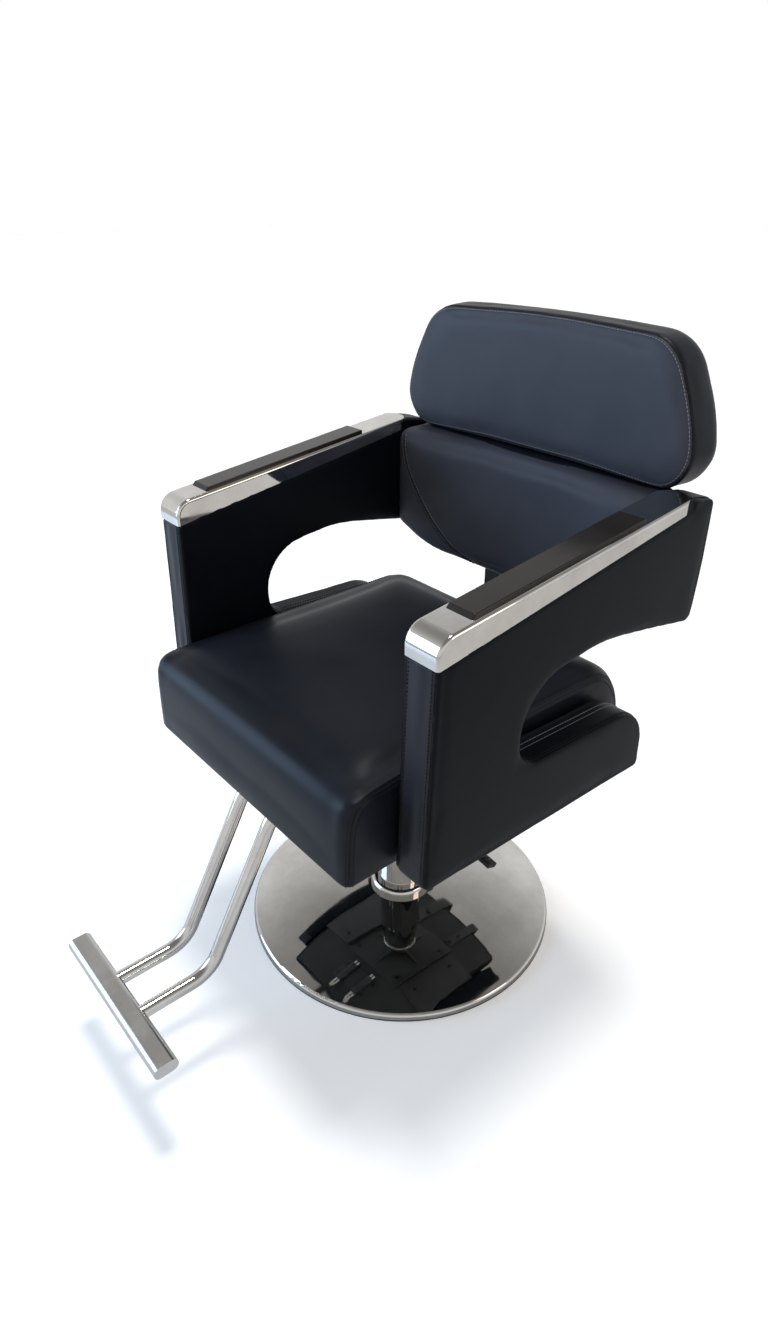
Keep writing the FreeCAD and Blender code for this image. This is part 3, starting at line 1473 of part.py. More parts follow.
def makeFootClamp():
    """The pressed saddle plate that holds both tubes against the seat board."""
    body = newBody("footrest_clamp")
    top = size.seatBottom
    thickness = size.footClampThickness
    tubeCentre = size.seatBottom - size.softGap - size.footTubeRadius
    half = (size.footTubeSpacing + size.footTubeRadius + thickness + size.footClampFlange)
    front = "Sizes.footClampFront"
    plate = roundedLoop([(-half, top - thickness), (half, top - thickness), (half, top), (-half, top)])
    pad(body, sketchOn(body, "XZ_Plane", plate, front), "Sizes.footClampLength", reverse=True)
    outer = []
    inner = []
    for side in (-1, 1):
        centre = side * size.footTubeSpacing
        for radius, edges, roof in ((size.footTubeRadius + thickness, outer, top - thickness / 2),
                                    (size.footTubeRadius + size.runningFit, inner,
                                     top + size.overrun)):
            low = tubeCentre - radius
            edges += roundedLoop([
                (centre - radius, roof),
                (centre - radius, low, radius * saddleRoundShare),
                (centre + radius, low, radius * saddleRoundShare),
                (centre + radius, roof),
            ])
    pad(body, sketchOn(body, "XZ_Plane", outer, front), "Sizes.footClampLength", reverse=True)
    pocket(body, sketchOn(body, "XZ_Plane", inner, front), "Sizes.footClampLength")
    drill(body, "XY_Plane", footClampBoltCentres(), "Sizes.seatBoltDiameter / 2 + Sizes.runningFit",
          "Sizes.seatBottom", "Sizes.footClampThickness + Sizes.softGap")
    return body


# Assembly

armPanel = makeArmPanel()
armCore = makeArmCore()
armCap = makeArmCap()
armRest = makeArmRest()
armBracket = makeArmBracket()
backUpright = makeBackUpright()
lowerHinge = makeLowerHinge()
upperHinge = makeUpperHinge()
footTube = makeFootTube()
footEndCap = makeFootEndCap()

pieces = [
    makeBaseCover(), makeFloorRing(), makeBasePlate(), makeBaseBolts(), makeColumnCollar(),
    makePumpCylinder(), makePumpCap(), makeGuideBush(), makeValveBlock(), makePedalPivot(),
    makePlunger(), makePedalLever(), makePedalTread(), makePumpRam(), makeSwivelWasher(),
    makeSeatPlate(),
    underSeatBolts("seat_plate_bolts", seatPlateBoltCentres(),
                   size.seatBottom - size.seatPlateThickness),
    makeSeatBoard(), makeSeatCushion(),
    armPanel, mirrored("arm_panel_right", armPanel),
    armCore, mirrored("arm_core_right", armCore),
    armCap, mirrored("arm_cap_right", armCap),
    armRest, mirrored("armrest_right", armRest),
    armBracket, mirrored("arm_bracket_right", armBracket),
    makeArmBolts(),
    underSeatBolts("arm_bracket_bolts", armBracketBoltCentres(-1) + armBracketBoltCentres(1),
                   size.seatBottom - size.armBracketThickness),
    makeLowerBack(), makeBackBoard(),
    backUpright, mirrored("back_upright_right", backUpright), makeUprightBolts(),
    lowerHinge, mirrored("hinge_lower_right", lowerHinge),
    upperHinge, mirrored("hinge_upper_right", upperHinge),
    makeHingePins(),
    makeLeafScrews("lower_hinge_screws", lowerLeafScrewCentres(),
                   size.backRear + size.leafThickness),
    makeLeafScrews("upper_hinge_screws", upperLeafScrewCentres(),
                   size.headRear + size.leafThickness),
    makeHeadPad(), makeHeadBoard(),
    footTube, mirrored("footrest_tube_right", footTube),
    makeFootBar(), footEndCap, mirrored("footrest_end_cap_right", footEndCap),
    makeFootClamp(),
    underSeatBolts("footrest_bolts", footClampBoltCentres(),
                   size.seatBottom - size.footClampThickness),
]
doc.recompute()

for member in doc.Objects:
    if "Invalid" in member.State or "Error" in member.State:
        raise RuntimeError(f"{member.Label} did not recompute: {member.State}")
for piece in pieces:
    if piece.Shape.isNull() or not piece.Shape.isValid() or not piece.Shape.Solids:
        raise RuntimeError(f"{piece.Label} has no valid solid")

os.makedirs("parts", exist_ok=True)
for piece in pieces:
    piece.Shape.exportStep(f"parts/{piece.Label}.step")
print(len(pieces), "pieces written")
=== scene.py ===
import json
import math

import bmesh
import bpy
import numpy as np
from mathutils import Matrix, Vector


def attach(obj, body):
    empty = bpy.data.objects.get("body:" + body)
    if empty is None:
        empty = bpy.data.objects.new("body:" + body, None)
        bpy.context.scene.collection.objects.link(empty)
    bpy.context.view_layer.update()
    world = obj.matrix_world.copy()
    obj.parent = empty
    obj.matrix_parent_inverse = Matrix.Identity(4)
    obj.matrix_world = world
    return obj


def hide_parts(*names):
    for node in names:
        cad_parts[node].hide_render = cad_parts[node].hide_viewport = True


# Salon threading chair: leather cushions, chrome caps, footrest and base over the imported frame
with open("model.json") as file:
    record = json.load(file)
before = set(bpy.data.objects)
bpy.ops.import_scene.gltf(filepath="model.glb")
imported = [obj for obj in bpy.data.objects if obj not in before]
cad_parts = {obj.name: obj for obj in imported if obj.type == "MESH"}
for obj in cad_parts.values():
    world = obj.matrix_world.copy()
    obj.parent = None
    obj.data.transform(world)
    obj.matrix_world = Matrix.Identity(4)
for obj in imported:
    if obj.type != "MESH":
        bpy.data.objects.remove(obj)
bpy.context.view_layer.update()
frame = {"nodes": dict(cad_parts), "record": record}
nodes = frame["nodes"]
scene = bpy.context.scene
print("frame:", len(nodes), "nodes")


# Object from points and faces, smooth shaded
def newPiece(name, points, faces, material):
    mesh = bpy.data.meshes.new(name)
    mesh.from_pydata(np.asarray(points, float).reshape(-1, 3), [], faces)
    mesh.polygons.foreach_set("use_smooth", np.ones(len(mesh.polygons), bool))
    mesh.update()
    piece = bpy.data.objects.new(name, mesh)
    scene.collection.objects.link(piece)
    piece.data.materials.append(material)
    return piece


# Quads of a rows by columns grid, whose rows or columns may close on themselves
def gridFaces(rows, columns, closeRows=False, closeColumns=False):
    i, j = np.meshgrid(np.arange(rows if closeRows else rows - 1),
                       np.arange(columns if closeColumns else columns - 1), indexing="ij")
    below, beside = (i + 1) % rows, (j + 1) % columns
    return np.stack([i * columns + j, below * columns + j,
                     below * columns + beside, i * columns + beside], -1).reshape(-1, 4)


# Outline through (x, y, radius) corners: straight runs joined by tangent arcs
def roundedOutline(corners, arcSteps=10, closed=True):
    corners = [tuple(c) + (0,) * (3 - len(c)) for c in corners]
    outline = []
    for index, (x, y, radius) in enumerate(corners):
        here = np.array([x, y])
        if radius == 0 or (not closed and index in (0, len(corners) - 1)):
            outline.append(here[None])
            continue
        before = np.array(corners[index - 1][:2]) - here
        after = np.array(corners[(index + 1) % len(corners)][:2]) - here
        before, after = before / np.linalg.norm(before), after / np.linalg.norm(after)
        half = math.acos(np.clip(before @ after, -1, 1)) / 2
        middle = (before + after) / np.linalg.norm(before + after)
        centre = here + middle * radius / math.sin(half)
        start = here + before * radius / math.tan(half) - centre
        turn = math.copysign(math.pi - 2 * half, before[0] * after[1] - before[1] * after[0])
        angles = -turn * np.linspace(0, 1, arcSteps + 1)
        outline.append(np.stack([
            centre[0] + start[0] * np.cos(angles) - start[1] * np.sin(angles),
            centre[1] + start[0] * np.sin(angles) + start[1] * np.cos(angles)], -1))
    return np.concatenate(outline)


# Recalculates outward normals of a closed mesh
def faceOutward(piece):
    shape = bmesh.new()
    shape.from_mesh(piece.data)
    bmesh.ops.recalc_face_normals(shape, faces=shape.faces)
    shape.to_mesh(piece.data)
    shape.free()
    return piece


# Material whose constants sit on the shader's own sockets
def newMaterial(name, **settings):
    material = bpy.data.materials.new(name)
    material.use_nodes = True
    shader = material.node_tree.nodes["Principled BSDF"]
    for socket, value in settings.items():
        shader.inputs[socket.replace("_", " ")].default_value = value
    return material, material.node_tree, shader


# Empty group with named inputs (name: start value) and outputs (name: socket type)
def newGroup(name, inputs, outputs):
    group = bpy.data.node_groups.new(name, "ShaderNodeTree")
    for title, value in inputs.items():
        socket = group.interface.new_socket(title, in_out="INPUT", socket_type="NodeSocketFloat")
        socket.default_value = value
    for title, kind in outputs.items():
        group.interface.new_socket(title, in_out="OUTPUT", socket_type=kind)
    return group, group.nodes.new("NodeGroupInput"), group.nodes.new("NodeGroupOutput")


# Node in a tree, with plain values on its inputs by index or name
def addNode(tree, kind, values=None, **settings):
    node = tree.nodes.new("ShaderNode" + kind)
    for key, value in settings.items():
        setattr(node, key, value)
    for key, value in (values or {}).items():
        node.inputs[key].default_value = value
    return node


# Links an output to an input
def join(tree, source, target):
    tree.links.new(source, target)


# Grain height: 0.55 of the pebbles (Voronoi cells) plus fine creases (noise); tone: broad noise
def makeLeatherGrain():
    group, start, end = newGroup("leatherGrain", {"Pebbles": 900.0, "Creases": 240.0, "Patches": 9.0},
                                 {"Height": "NodeSocketFloat", "Tone": "NodeSocketFloat"})
    place = addNode(group, "TexCoord")
    cells = addNode(group, "TexVoronoi", feature="SMOOTH_F1")
    creases = addNode(group, "TexNoise", {"Detail": 4.0, "Roughness": 0.6})
    patches = addNode(group, "TexNoise", {"Detail": 3.0, "Roughness": 0.5})
    mixed = addNode(group, "Math", {1: 0.55}, operation="MULTIPLY_ADD")
    for node, title in ((cells, "Pebbles"), (creases, "Creases"), (patches, "Patches")):
        join(group, place.outputs["Object"], node.inputs["Vector"])
        join(group, start.outputs[title], node.inputs["Scale"])
    join(group, cells.outputs["Distance"], mixed.inputs[0])
    join(group, creases.outputs["Fac"], mixed.inputs[2])
    join(group, mixed.outputs[0], end.inputs["Height"])
    join(group, patches.outputs["Fac"], end.inputs["Tone"])
    return group


# Smudges on plating: broad cloudy noise and stretched fine noise, each between 0 and 1
def makeSmudges():
    group, start, end = newGroup("smudges", {"Clouds": 14.0, "Streaks": 60.0, "Stretch": 0.1},
                                 {"Cloud": "NodeSocketFloat", "Streak": "NodeSocketFloat"})
    place = addNode(group, "TexCoord")
    squeeze = addNode(group, "CombineXYZ", {"Y": 1.0, "Z": 1.0})
    stretched = addNode(group, "VectorMath", operation="MULTIPLY")
    clouds = addNode(group, "TexNoise", {"Detail": 5.0, "Roughness": 0.65})
    streaks = addNode(group, "TexNoise", {"Detail": 3.0})
    join(group, start.outputs["Stretch"], squeeze.inputs["X"])
    join(group, place.outputs["Object"], stretched.inputs[0])
    join(group, squeeze.outputs[0], stretched.inputs[1])
    join(group, place.outputs["Object"], clouds.inputs["Vector"])
    join(group, stretched.outputs[0], streaks.inputs["Vector"])
    join(group, start.outputs["Clouds"], clouds.inputs["Scale"])
    join(group, start.outputs["Streaks"], streaks.inputs["Scale"])
    join(group, clouds.outputs["Fac"], end.inputs["Cloud"])
    join(group, streaks.outputs["Fac"], end.inputs["Streak"])
    return group


leatherGrain = makeLeatherGrain()
smudges = makeSmudges()


# Places a group in a material with its own values
def useGroup(tree, group, **values):
    node = tree.nodes.new("ShaderNodeGroup")
    node.node_tree = group
    for title, value in values.items():
        node.inputs[title].default_value = value
    return node


# Maps a 0 to 1 value on a colour or number range and links it to a socket
def rangeTo(tree, source, target, low, high, fromLow=0.3, fromHigh=0.7):
    if isinstance(low, tuple):
        ramp = addNode(tree, "ValToRGB")
        ramp.color_ramp.elements[0].position = fromLow
        ramp.color_ramp.elements[0].color = low + (1.0,)
        ramp.color_ramp.elements[1].position = fromHigh
        ramp.color_ramp.elements[1].color = high + (1.0,)
        join(tree, source, ramp.inputs[0])
        join(tree, ramp.outputs[0], target)
        return
    spread = addNode(tree, "MapRange", {"From Min": fromLow, "From Max": fromHigh,
                                        "To Min": low, "To Max": high})
    join(tree, source, spread.inputs["Value"])
    join(tree, spread.outputs[0], target)


# Bump from a height, in metres
def bumpTo(tree, source, shader, distance, strength=1.0):
    bump = addNode(tree, "Bump", {"Strength": strength, "Distance": distance})
    join(tree, source, bump.inputs["Height"])
    join(tree, bump.outputs["Normal"], shader.inputs["Normal"])


# Four tones of the one black leather: the seat's is its own, the other three are painted lit and
# shaded copies of it
leather = {"dark": (0.0050, 0.0066, 0.0112), "light": (0.0082, 0.0104, 0.0165),
           "smooth": 0.37, "dull": 0.44, "grain": 0.00006, "gloss": 0.13}
# Arm leather: darker and duller, painted shade on the arms' sides
armLeatherPaintedShade = {"dark": (0.0036, 0.0050, 0.0080), "light": (0.0056, 0.0074, 0.0110),
              "smooth": 0.36, "dull": 0.44, "grain": 0.00006, "gloss": 0.06}
# Strip leather: lighter, painted highlight of the bluish window on the arms' front strips
stripLeatherPaintedLight = {"dark": (0.0150, 0.0165, 0.0215), "light": (0.0205, 0.0225, 0.0290),
                "smooth": 0.36, "dull": 0.44, "grain": 0.00006, "gloss": 0.14}
# Back leather: much lighter, painted light of the bluish window on the front faces of the head pad and
# lower back
backLeatherPaintedLight = {"dark": (0.0480, 0.0500, 0.0630), "light": (0.0620, 0.0640, 0.0790),
               "smooth": 0.40, "dull": 0.48, "grain": 0.00005, "gloss": 0.14}


# Leather: black with faint broad tone, satin with the tone, pebbled bump
def makeLeather(name, values):
    material, tree, shader = newMaterial(name, Specular_IOR_Level=values["gloss"])
    grain = useGroup(tree, leatherGrain)
    rangeTo(tree, grain.outputs["Tone"], shader.inputs["Base Color"], values["dark"], values["light"])
    rangeTo(tree, grain.outputs["Tone"], shader.inputs["Roughness"], values["smooth"], values["dull"])
    bumpTo(tree, grain.outputs["Height"], shader, values["grain"])
    return material


chrome = {"tint": (0.58, 0.57, 0.55), "dim": (0.46, 0.45, 0.43), "clean": 0.03, "smudged": 0.07}
satinChrome = {"tint": (0.52, 0.515, 0.50), "dim": (0.45, 0.445, 0.43), "clean": 0.22, "smudged": 0.32}


# Plating: metal whose tone and gloss drift with cloudy smudges
def makePlating(name, values, streaks=0.0):
    material, tree, shader = newMaterial(name, Metallic=1.0)
    marks = useGroup(tree, smudges)
    rangeTo(tree, marks.outputs["Cloud"], shader.inputs["Base Color"], values["dim"], values["tint"])
    rangeTo(tree, marks.outputs["Cloud"], shader.inputs["Roughness"],
            values["smudged"], values["clean"], fromLow=0.35, fromHigh=0.6)
    if streaks:
        bumpTo(tree, marks.outputs["Streak"], shader, streaks)
    return material


# Hard finish: two tones and two roughnesses over cloudy noise, with a fine bump
def makeHard(name, dark, light, smooth, dull, metallic=0.0, bump=0.0, gloss=0.5, scale=14.0):
    material, tree, shader = newMaterial(name, Metallic=metallic, Specular_IOR_Level=gloss)
    marks = useGroup(tree, smudges, Clouds=scale)
    rangeTo(tree, marks.outputs["Cloud"], shader.inputs["Base Color"], dark, light)
    rangeTo(tree, marks.outputs["Cloud"], shader.inputs["Roughness"], smooth, dull)
    if bump:
        bumpTo(tree, marks.outputs["Cloud"], shader, bump)
    return material


materials = {
    "leather": makeLeather("blackLeather", leather),
    # darker copy: painted shade on the arms' sides
    "armLeatherPaintedShade": makeLeather("blackLeatherArmsPaintedShade", armLeatherPaintedShade),
    # lighter copy: painted highlight on the arms' front strips
    "stripLeatherPaintedLight": makeLeather("blackLeatherStripsPaintedLight", stripLeatherPaintedLight),
    # lighter copy: painted light on the backs' front faces
    "backLeatherPaintedLight": makeLeather("blackLeatherBacksPaintedLight", backLeatherPaintedLight),
    "chrome": makePlating("mirrorChrome", chrome),
    "satin": makePlating("satinChrome", satinChrome, streaks=0.00001),
    "armrest": makeHard("darkArmrest", (0.014, 0.012, 0.011), (0.021, 0.017, 0.015), 0.16, 0.24,
                        gloss=0.26),
    "rubber": makeHard("blackRubber", (0.014, 0.014, 0.014), (0.03, 0.03, 0.03), 0.6, 0.75,
                       bump=0.0001, scale=300.0),
    "paintedSteel": makeHard("powderCoat", (0.02, 0.02, 0.021), (0.03, 0.03, 0.031), 0.42, 0.55,
                             bump=0.00006, scale=900.0),
    "zincSteel": makeHard("zincSteel", (0.5, 0.5, 0.52), (0.66, 0.66, 0.67), 0.24, 0.36,
                          metallic=1.0, scale=120.0),
    "blackSteel": makeHard("blackenedSteel", (0.03, 0.03, 0.032), (0.05, 0.05, 0.052), 0.34, 0.46,
                           metallic=1.0, scale=120.0),
    "brass": makeHard("turnedBrass", (0.62, 0.46, 0.22), (0.74, 0.58, 0.3), 0.22, 0.34,
                      metallic=1.0, scale=90.0),
    "plywood": makeHard("plywood", (0.5, 0.36, 0.22), (0.66, 0.5, 0.33), 0.5, 0.65, scale=30.0),
    "coveredBoard": makeHard("boardCover", (0.016, 0.016, 0.017), (0.03, 0.03, 0.031), 0.7, 0.85,
                             bump=0.0002, scale=1400.0),
    "thread": makeHard("stitchThread", (0.002, 0.002, 0.002), (0.005, 0.005, 0.006), 0.55, 0.7,
                       gloss=0.2, scale=500.0),
    # Pale thread: the black thread lightened, painted sheen of light on the stitches
    "paleThread": makeHard("paleThread", (0.16, 0.16, 0.17), (0.26, 0.26, 0.27), 0.5, 0.6,
                           scale=500.0),
}
print("materials:", len(materials))

slotFinish = {
    "chrome": "chrome", "satin_chrome": "satin", "satin_chrome_plastic": "satin",
    "black_rubber": "rubber", "black_plastic": "armrest", "black_leather": "leather",
    "plywood": "plywood", "covered_board": "coveredBoard", "black_steel": "paintedSteel",
    "brass": "brass", "bright_steel": "zincSteel",
}
for row in frame["record"]["subparts"]:
    piece = nodes[row["node"]]
    piece.data.materials.clear()
    piece.data.materials.append(materials[slotFinish[row["material_slot"]]])

# The fasteners under the seat are blackened: the base mirrors a plain dark underside
for name in ("seat_plate_bolts", "arm_bracket_bolts", "footrest_bolts", "arm_bolts",
             "upright_bolts"):
    nodes[name].data.materials[0] = materials["blackSteel"]

# Cushions


# Vertex places and normals of a mesh as arrays
def vertexArrays(mesh):
    places, normals = np.empty(len(mesh.vertices) * 3), np.empty(len(mesh.vertices) * 3)
    mesh.vertices.foreach_get("co", places)
    mesh.vertices.foreach_get("normal", normals)
    return places.reshape(-1, 3), normals.reshape(-1, 3)


# Puts a mesh's vertices at new places
def moveVertices(mesh, places):
    mesh.vertices.foreach_set("co", np.asarray(places, np.float32).ravel())
    mesh.update()


# Bakes a piece's modifiers into its mesh
def bake(piece):
    shape = bpy.data.meshes.new_from_object(
        piece.evaluated_get(bpy.context.evaluated_depsgraph_get()))
    piece.modifiers.clear()
    old, piece.data = piece.data, shape
    bpy.data.meshes.remove(old)


# Smooth step from 0 at low to 1 at high: 3 s^2 - 2 s^3 of the share s on the way
def rise(value, low, high):
    share = np.clip((value - low) / (high - low), 0, 1)
    return share * share * (3 - 2 * share)


# Even places along a polyline, one every step
def evenly(path, step, closed=False):
    path = np.asarray(path, float)
    if closed:
        path = np.vstack([path, path[:1]])
    run = np.concatenate([[0], np.cumsum(np.linalg.norm(np.diff(path, axis=0), axis=1))])
    count = max(3, int(round(run[-1] / step)))
    at = np.linspace(0, run[-1], count + 1)
    even = np.stack([np.interp(at, run, path[:, axis]) for axis in range(3)], -1)
    return even[:-1] if closed else even


# Rounds a polyline's corners: each place becomes the mean of its neighbours within a span
def relaxed(path, span, closed=False, passes=2):
    for _ in range(passes):
        ends = "wrap" if closed else "edge"
        padded = np.pad(path, ((span, span), (0, 0)), mode=ends)
        kernel = np.ones(2 * span + 1) / (2 * span + 1)
        mean = np.stack([np.convolve(padded[:, axis], kernel, "valid") for axis in range(3)], -1)
        if not closed:
            mean[0], mean[-1] = path[0], path[-1]
        path = mean
    return path


# Distance from each place to the nearest point of a line, and that point's number, block by
# block to spare memory
def nearest(places, line, block=3000):
    distance, number = np.empty(len(places)), np.empty(len(places), int)
    line = line.astype(np.float32)
    for start in range(0, len(places), block):
        part = places[start:start + block].astype(np.float32)
        square = ((part ** 2).sum(1)[:, None] + (line ** 2).sum(1)[None] - 2 * part @ line.T)
        number[start:start + block] = square.argmin(1)
        distance[start:start + block] = np.sqrt(np.maximum(square.min(1), 0))
    return distance, number


# Moves a line onto a skin: each place drops on the plane of its nearest vertex
def onSkin(piece, line, closed=False, smooth=2):
    places, normals = vertexArrays(piece.data)
    _, number = nearest(line, places)
    normal = normals[number]
    dropped = line - ((line - places[number]) * normal).sum(1)[:, None] * normal
    if smooth:
        dropped = relaxed(dropped, smooth, closed)
        normal = relaxed(normal, smooth, closed)
    return dropped, normal / np.linalg.norm(normal, axis=1)[:, None]


# Tangent and sideways direction along a line that lies on a skin
def alongAndAcross(line, normal, closed=False):
    if closed:
        tangent = np.roll(line, -1, 0) - np.roll(line, 1, 0)
    else:
        tangent = np.gradient(line, axis=0)
    tangent -= (tangent * normal).sum(1)[:, None] * normal
    tangent /= np.linalg.norm(tangent, axis=1)[:, None]
    return tangent, np.cross(normal, tangent)


# Puckers beside a seam: (wave length over two pi, phase, share) of each sine
puckerWaves = ((0.0121, 0.0, 1.0), (0.0073, 1.3, 0.7), (0.031, 0.4, 0.8))


# Seam pressed into a skin: depth times exp(-(d/width)^2), d from the line; puckers beside it
# follow a mix of sines of the place along the line and fade with exp(-(d/reach)^2)
def pressSeam(piece, line, depth, width, pucker=0.0, reach=0.012):
    places, normals = vertexArrays(piece.data)
    distance, number = nearest(places, line)
    run = number * np.linalg.norm(line[1] - line[0])
    waves = sum(share * np.sin(run / length + phase) for length, phase, share in puckerWaves)
    inward = depth * np.exp(-(distance / width) ** 2)
    inward += pucker * waves * np.exp(-(distance / reach) ** 2) * rise(distance, 0, width)
    moveVertices(piece.data, places - inward[:, None] * normals)


# Mean of a vertex field with its neighbours along the edges, several times over
def evenedOut(mesh, field, passes):
    ends = np.empty(len(mesh.edges) * 2, np.int32)
    mesh.edges.foreach_get("vertices", ends)
    first, second = ends.reshape(-1, 2).T
    count = len(mesh.vertices)
    links = 1 + np.bincount(first, minlength=count) + np.bincount(second, minlength=count)
    for _ in range(passes):
        total = np.stack([np.bincount(first, column[second], count)
                          + np.bincount(second, column[first], count) for column in field.T], -1)
        field = (field + total) / links[:, None]
    return field


# Moves every vertex to the nearest point of the CAD solid's surface
def wrapOn(piece, node):
    wrap = piece.modifiers.new("wrap", "SHRINKWRAP")
    wrap.target = nodes[node]
    wrap.wrap_method = "NEAREST_SURFACEPOINT"
    bake(piece)


# Cloth of every cushion cover, and the distance below which its CAD points are welded
cover = {"quality": 4, "mass": 0.4, "frames": 20, "pinnedBelow": 0.05, "weld": 1e-6}


# Copy of a CAD cushion, remeshed, softened by shares, pulled to its seams and blown up by cloth
# pressure. Foam behind the cover lets it move outwards, but hardly inwards. The length of each
# push is capped as cap times tanh(length / cap)
def swollen(name, node, values, held, soften=None, seams=(), reshape=None):
    mesh = nodes[node].data.copy()
    piece = bpy.data.objects.new(name, mesh)
    scene.collection.objects.link(piece)
    shape = bmesh.new()
    shape.from_mesh(mesh)
    bmesh.ops.remove_doubles(shape, verts=shape.verts, dist=cover["weld"])
    shape.to_mesh(mesh)
    shape.free()
    remesh = piece.modifiers.new("voxels", "REMESH")
    remesh.mode = "VOXEL"
    remesh.voxel_size = values["voxel"]
    remesh.use_smooth_shade = True
    bake(piece)
    wrapOn(piece, node)
    places, _ = vertexArrays(piece.data)
    for passes, share in soften(places) if soften else []:
        places = places + (evenedOut(piece.data, places, passes) - places) * share[:, None]
    for line in seams:
        distance, number = nearest(places, line)
        near = np.clip(1 - (distance / values["edgeReach"]) ** 2, 0, 1)[:, None]
        places = places + (line[number] - places) * values["edgePull"] * near
    moveVertices(piece.data, reshape(places) if reshape else places)
    places, normals = vertexArrays(piece.data)
    share = held(places)
    places = places - normals * (values["drawIn"] * share)[:, None]
    moveVertices(piece.data, places)
    group = piece.vertex_groups.new(name="pins")
    for number in np.flatnonzero(share < cover["pinnedBelow"]).tolist():
        group.add([number], 1.0, "REPLACE")
    cloth = piece.modifiers.new("cloth", "CLOTH")
    cloth.settings.quality = cover["quality"]
    cloth.settings.mass = cover["mass"]
    cloth.settings.tension_stiffness = values["stiffness"]
    cloth.settings.compression_stiffness = values["stiffness"]
    cloth.settings.bending_stiffness = values["bending"]
    cloth.settings.use_pressure = True
    cloth.settings.uniform_pressure_force = values["pressure"]
    cloth.settings.effector_weights.gravity = 0
    cloth.settings.vertex_group_mass = "pins"
    cloth.point_cache.frame_start = 1
    cloth.point_cache.frame_end = cover["frames"]
    for step in range(1, cover["frames"] + 1):
        scene.frame_set(step)
    blown = piece.evaluated_get(bpy.context.evaluated_depsgraph_get())
    after, _ = vertexArrays(blown.data)
    piece.modifiers.clear()
    piece.vertex_groups.clear()
    scene.frame_set(1)
    push = evenedOut(piece.data, after - places, values["calm"])
    outward = (push * normals).sum(1)[:, None]
    push += (np.maximum(outward, -values["give"]) - outward) * normals
    size = np.linalg.norm(push, axis=1)[:, None]
    cap = (values["cap"] * share)[:, None]
    push *= cap * np.tanh(size / np.maximum(cap, 1e-6)) / np.maximum(size, 1e-9)
    moveVertices(piece.data, places + push)
    finer = piece.modifiers.new("finer", "SUBSURF")
    finer.levels = finer.render_levels = values["finer"]
    bake(piece)
    piece.data.materials.clear()
    piece.data.materials.append(materials[values["finish"]])
    piece.data.polygons.foreach_set("use_smooth", np.ones(len(piece.data.polygons), bool))
    print(name, len(piece.data.vertices), "points, pushed up to",
          round(float(size.max()) * 1000, 1), "mm, outwards",
          round(float(outward.min()) * 1000, 1), "to", round(float(outward.max()) * 1000, 1))
    return piece


# Rings of one stitch: shares of its length along the seam, of half its width, and of its
# width above the skin
rodShares = ((-0.5, 0.35, -0.6), (-0.42, 1.0, 0.3), (0.42, 1.0, 0.3), (0.5, 0.35, -0.6))


# Stitches on a skin: short rods of four rings of six points, one every pitch along the line;
# a ring is a circle across the seam, and the end rings dip into the skin
def stitches(name, skin, line, values, material, shift=0.0, closed=False):
    middle, normal = onSkin(skin, evenly(line, values["pitch"], closed), closed)
    tangent, across = alongAndAcross(middle, normal, closed)
    middle, normal = onSkin(skin, middle + across * shift, closed, 1)
    tangent, across = alongAndAcross(middle, normal, closed)
    rings, sides = len(rodShares), 6
    turn = np.linspace(0, 2 * math.pi, sides, endpoint=False)
    alongShares, radiusShares, liftShares = np.array(rodShares).T
    along = alongShares * values["length"]
    radii = radiusShares * values["width"] / 2
    lifts = liftShares * values["width"]
    x = np.broadcast_to(along[:, None], (rings, sides))
    y = radii[:, None] * np.cos(turn)[None]
    z = radii[:, None] * np.sin(turn)[None] + lifts[:, None]
    points = (middle[:, None, None] + x[None, ..., None] * tangent[:, None, None]
              + y[None, ..., None] * across[:, None, None]
              + z[None, ..., None] * normal[:, None, None])
    end = np.array([[0, 1, 2, 3], [0, 3, 4, 5]])
    rod = np.vstack([gridFaces(rings, sides, closeColumns=True)[:, ::-1], end,
                     end[:, ::-1] + (rings - 1) * sides])
    faces = (rod[None] + rings * sides * np.arange(len(middle))[:, None, None]).reshape(-1, 4)
    return faceOutward(newPiece(name, points.reshape(-1, 3), faces, material))


# Tube along a line on a skin: a circle of the radius in the plane across the line
def tube(name, line, normal, radius, material, closed=False, sides=10):
    tangent, across = alongAndAcross(line, normal, closed)
    turn = np.linspace(0, 2 * math.pi, sides, endpoint=False)
    points = (line[:, None] + radius * (np.cos(turn)[None, :, None] * across[:, None]
                                        + np.sin(turn)[None, :, None] * normal[:, None]))
    count = len(line)
    grid = gridFaces(count, sides, closeRows=closed, closeColumns=True)
    faces = [tuple(face) for face in grid.tolist()]
    if not closed:
        faces += [tuple(range(sides)), tuple(range(count * sides - 1, (count - 1) * sides - 1, -1))]
    return faceOutward(newPiece(name, points.reshape(-1, 3), faces, material))


# Millimetres, and the sizes of every stitch and seam
mm = 0.001
stitch = {"pitch": 0.0055, "length": 0.0040, "width": 0.0011}
seam = {"step": 0.0015, "span": 5, "smooth": 4, "cordLift": 0.0002, "cordSides": 8,
        "pullStep": 0.002}


# Mirror image of a piece across the middle plane: x changes sign, faces turn round
def mirrorPiece(piece, name):
    places, _ = vertexArrays(piece.data)
    faces = [tuple(reversed(face.vertices)) for face in piece.data.polygons]
    image = newPiece(name, places * (-1, 1, 1), faces, piece.data.materials[0])
    if len(piece.data.materials) > 1:
        finish = np.empty(len(faces), np.int32)
        piece.data.polygons.foreach_get("material_index", finish)
        image.data.materials.append(piece.data.materials[1])
        image.data.polygons.foreach_set("material_index", finish)
    return image


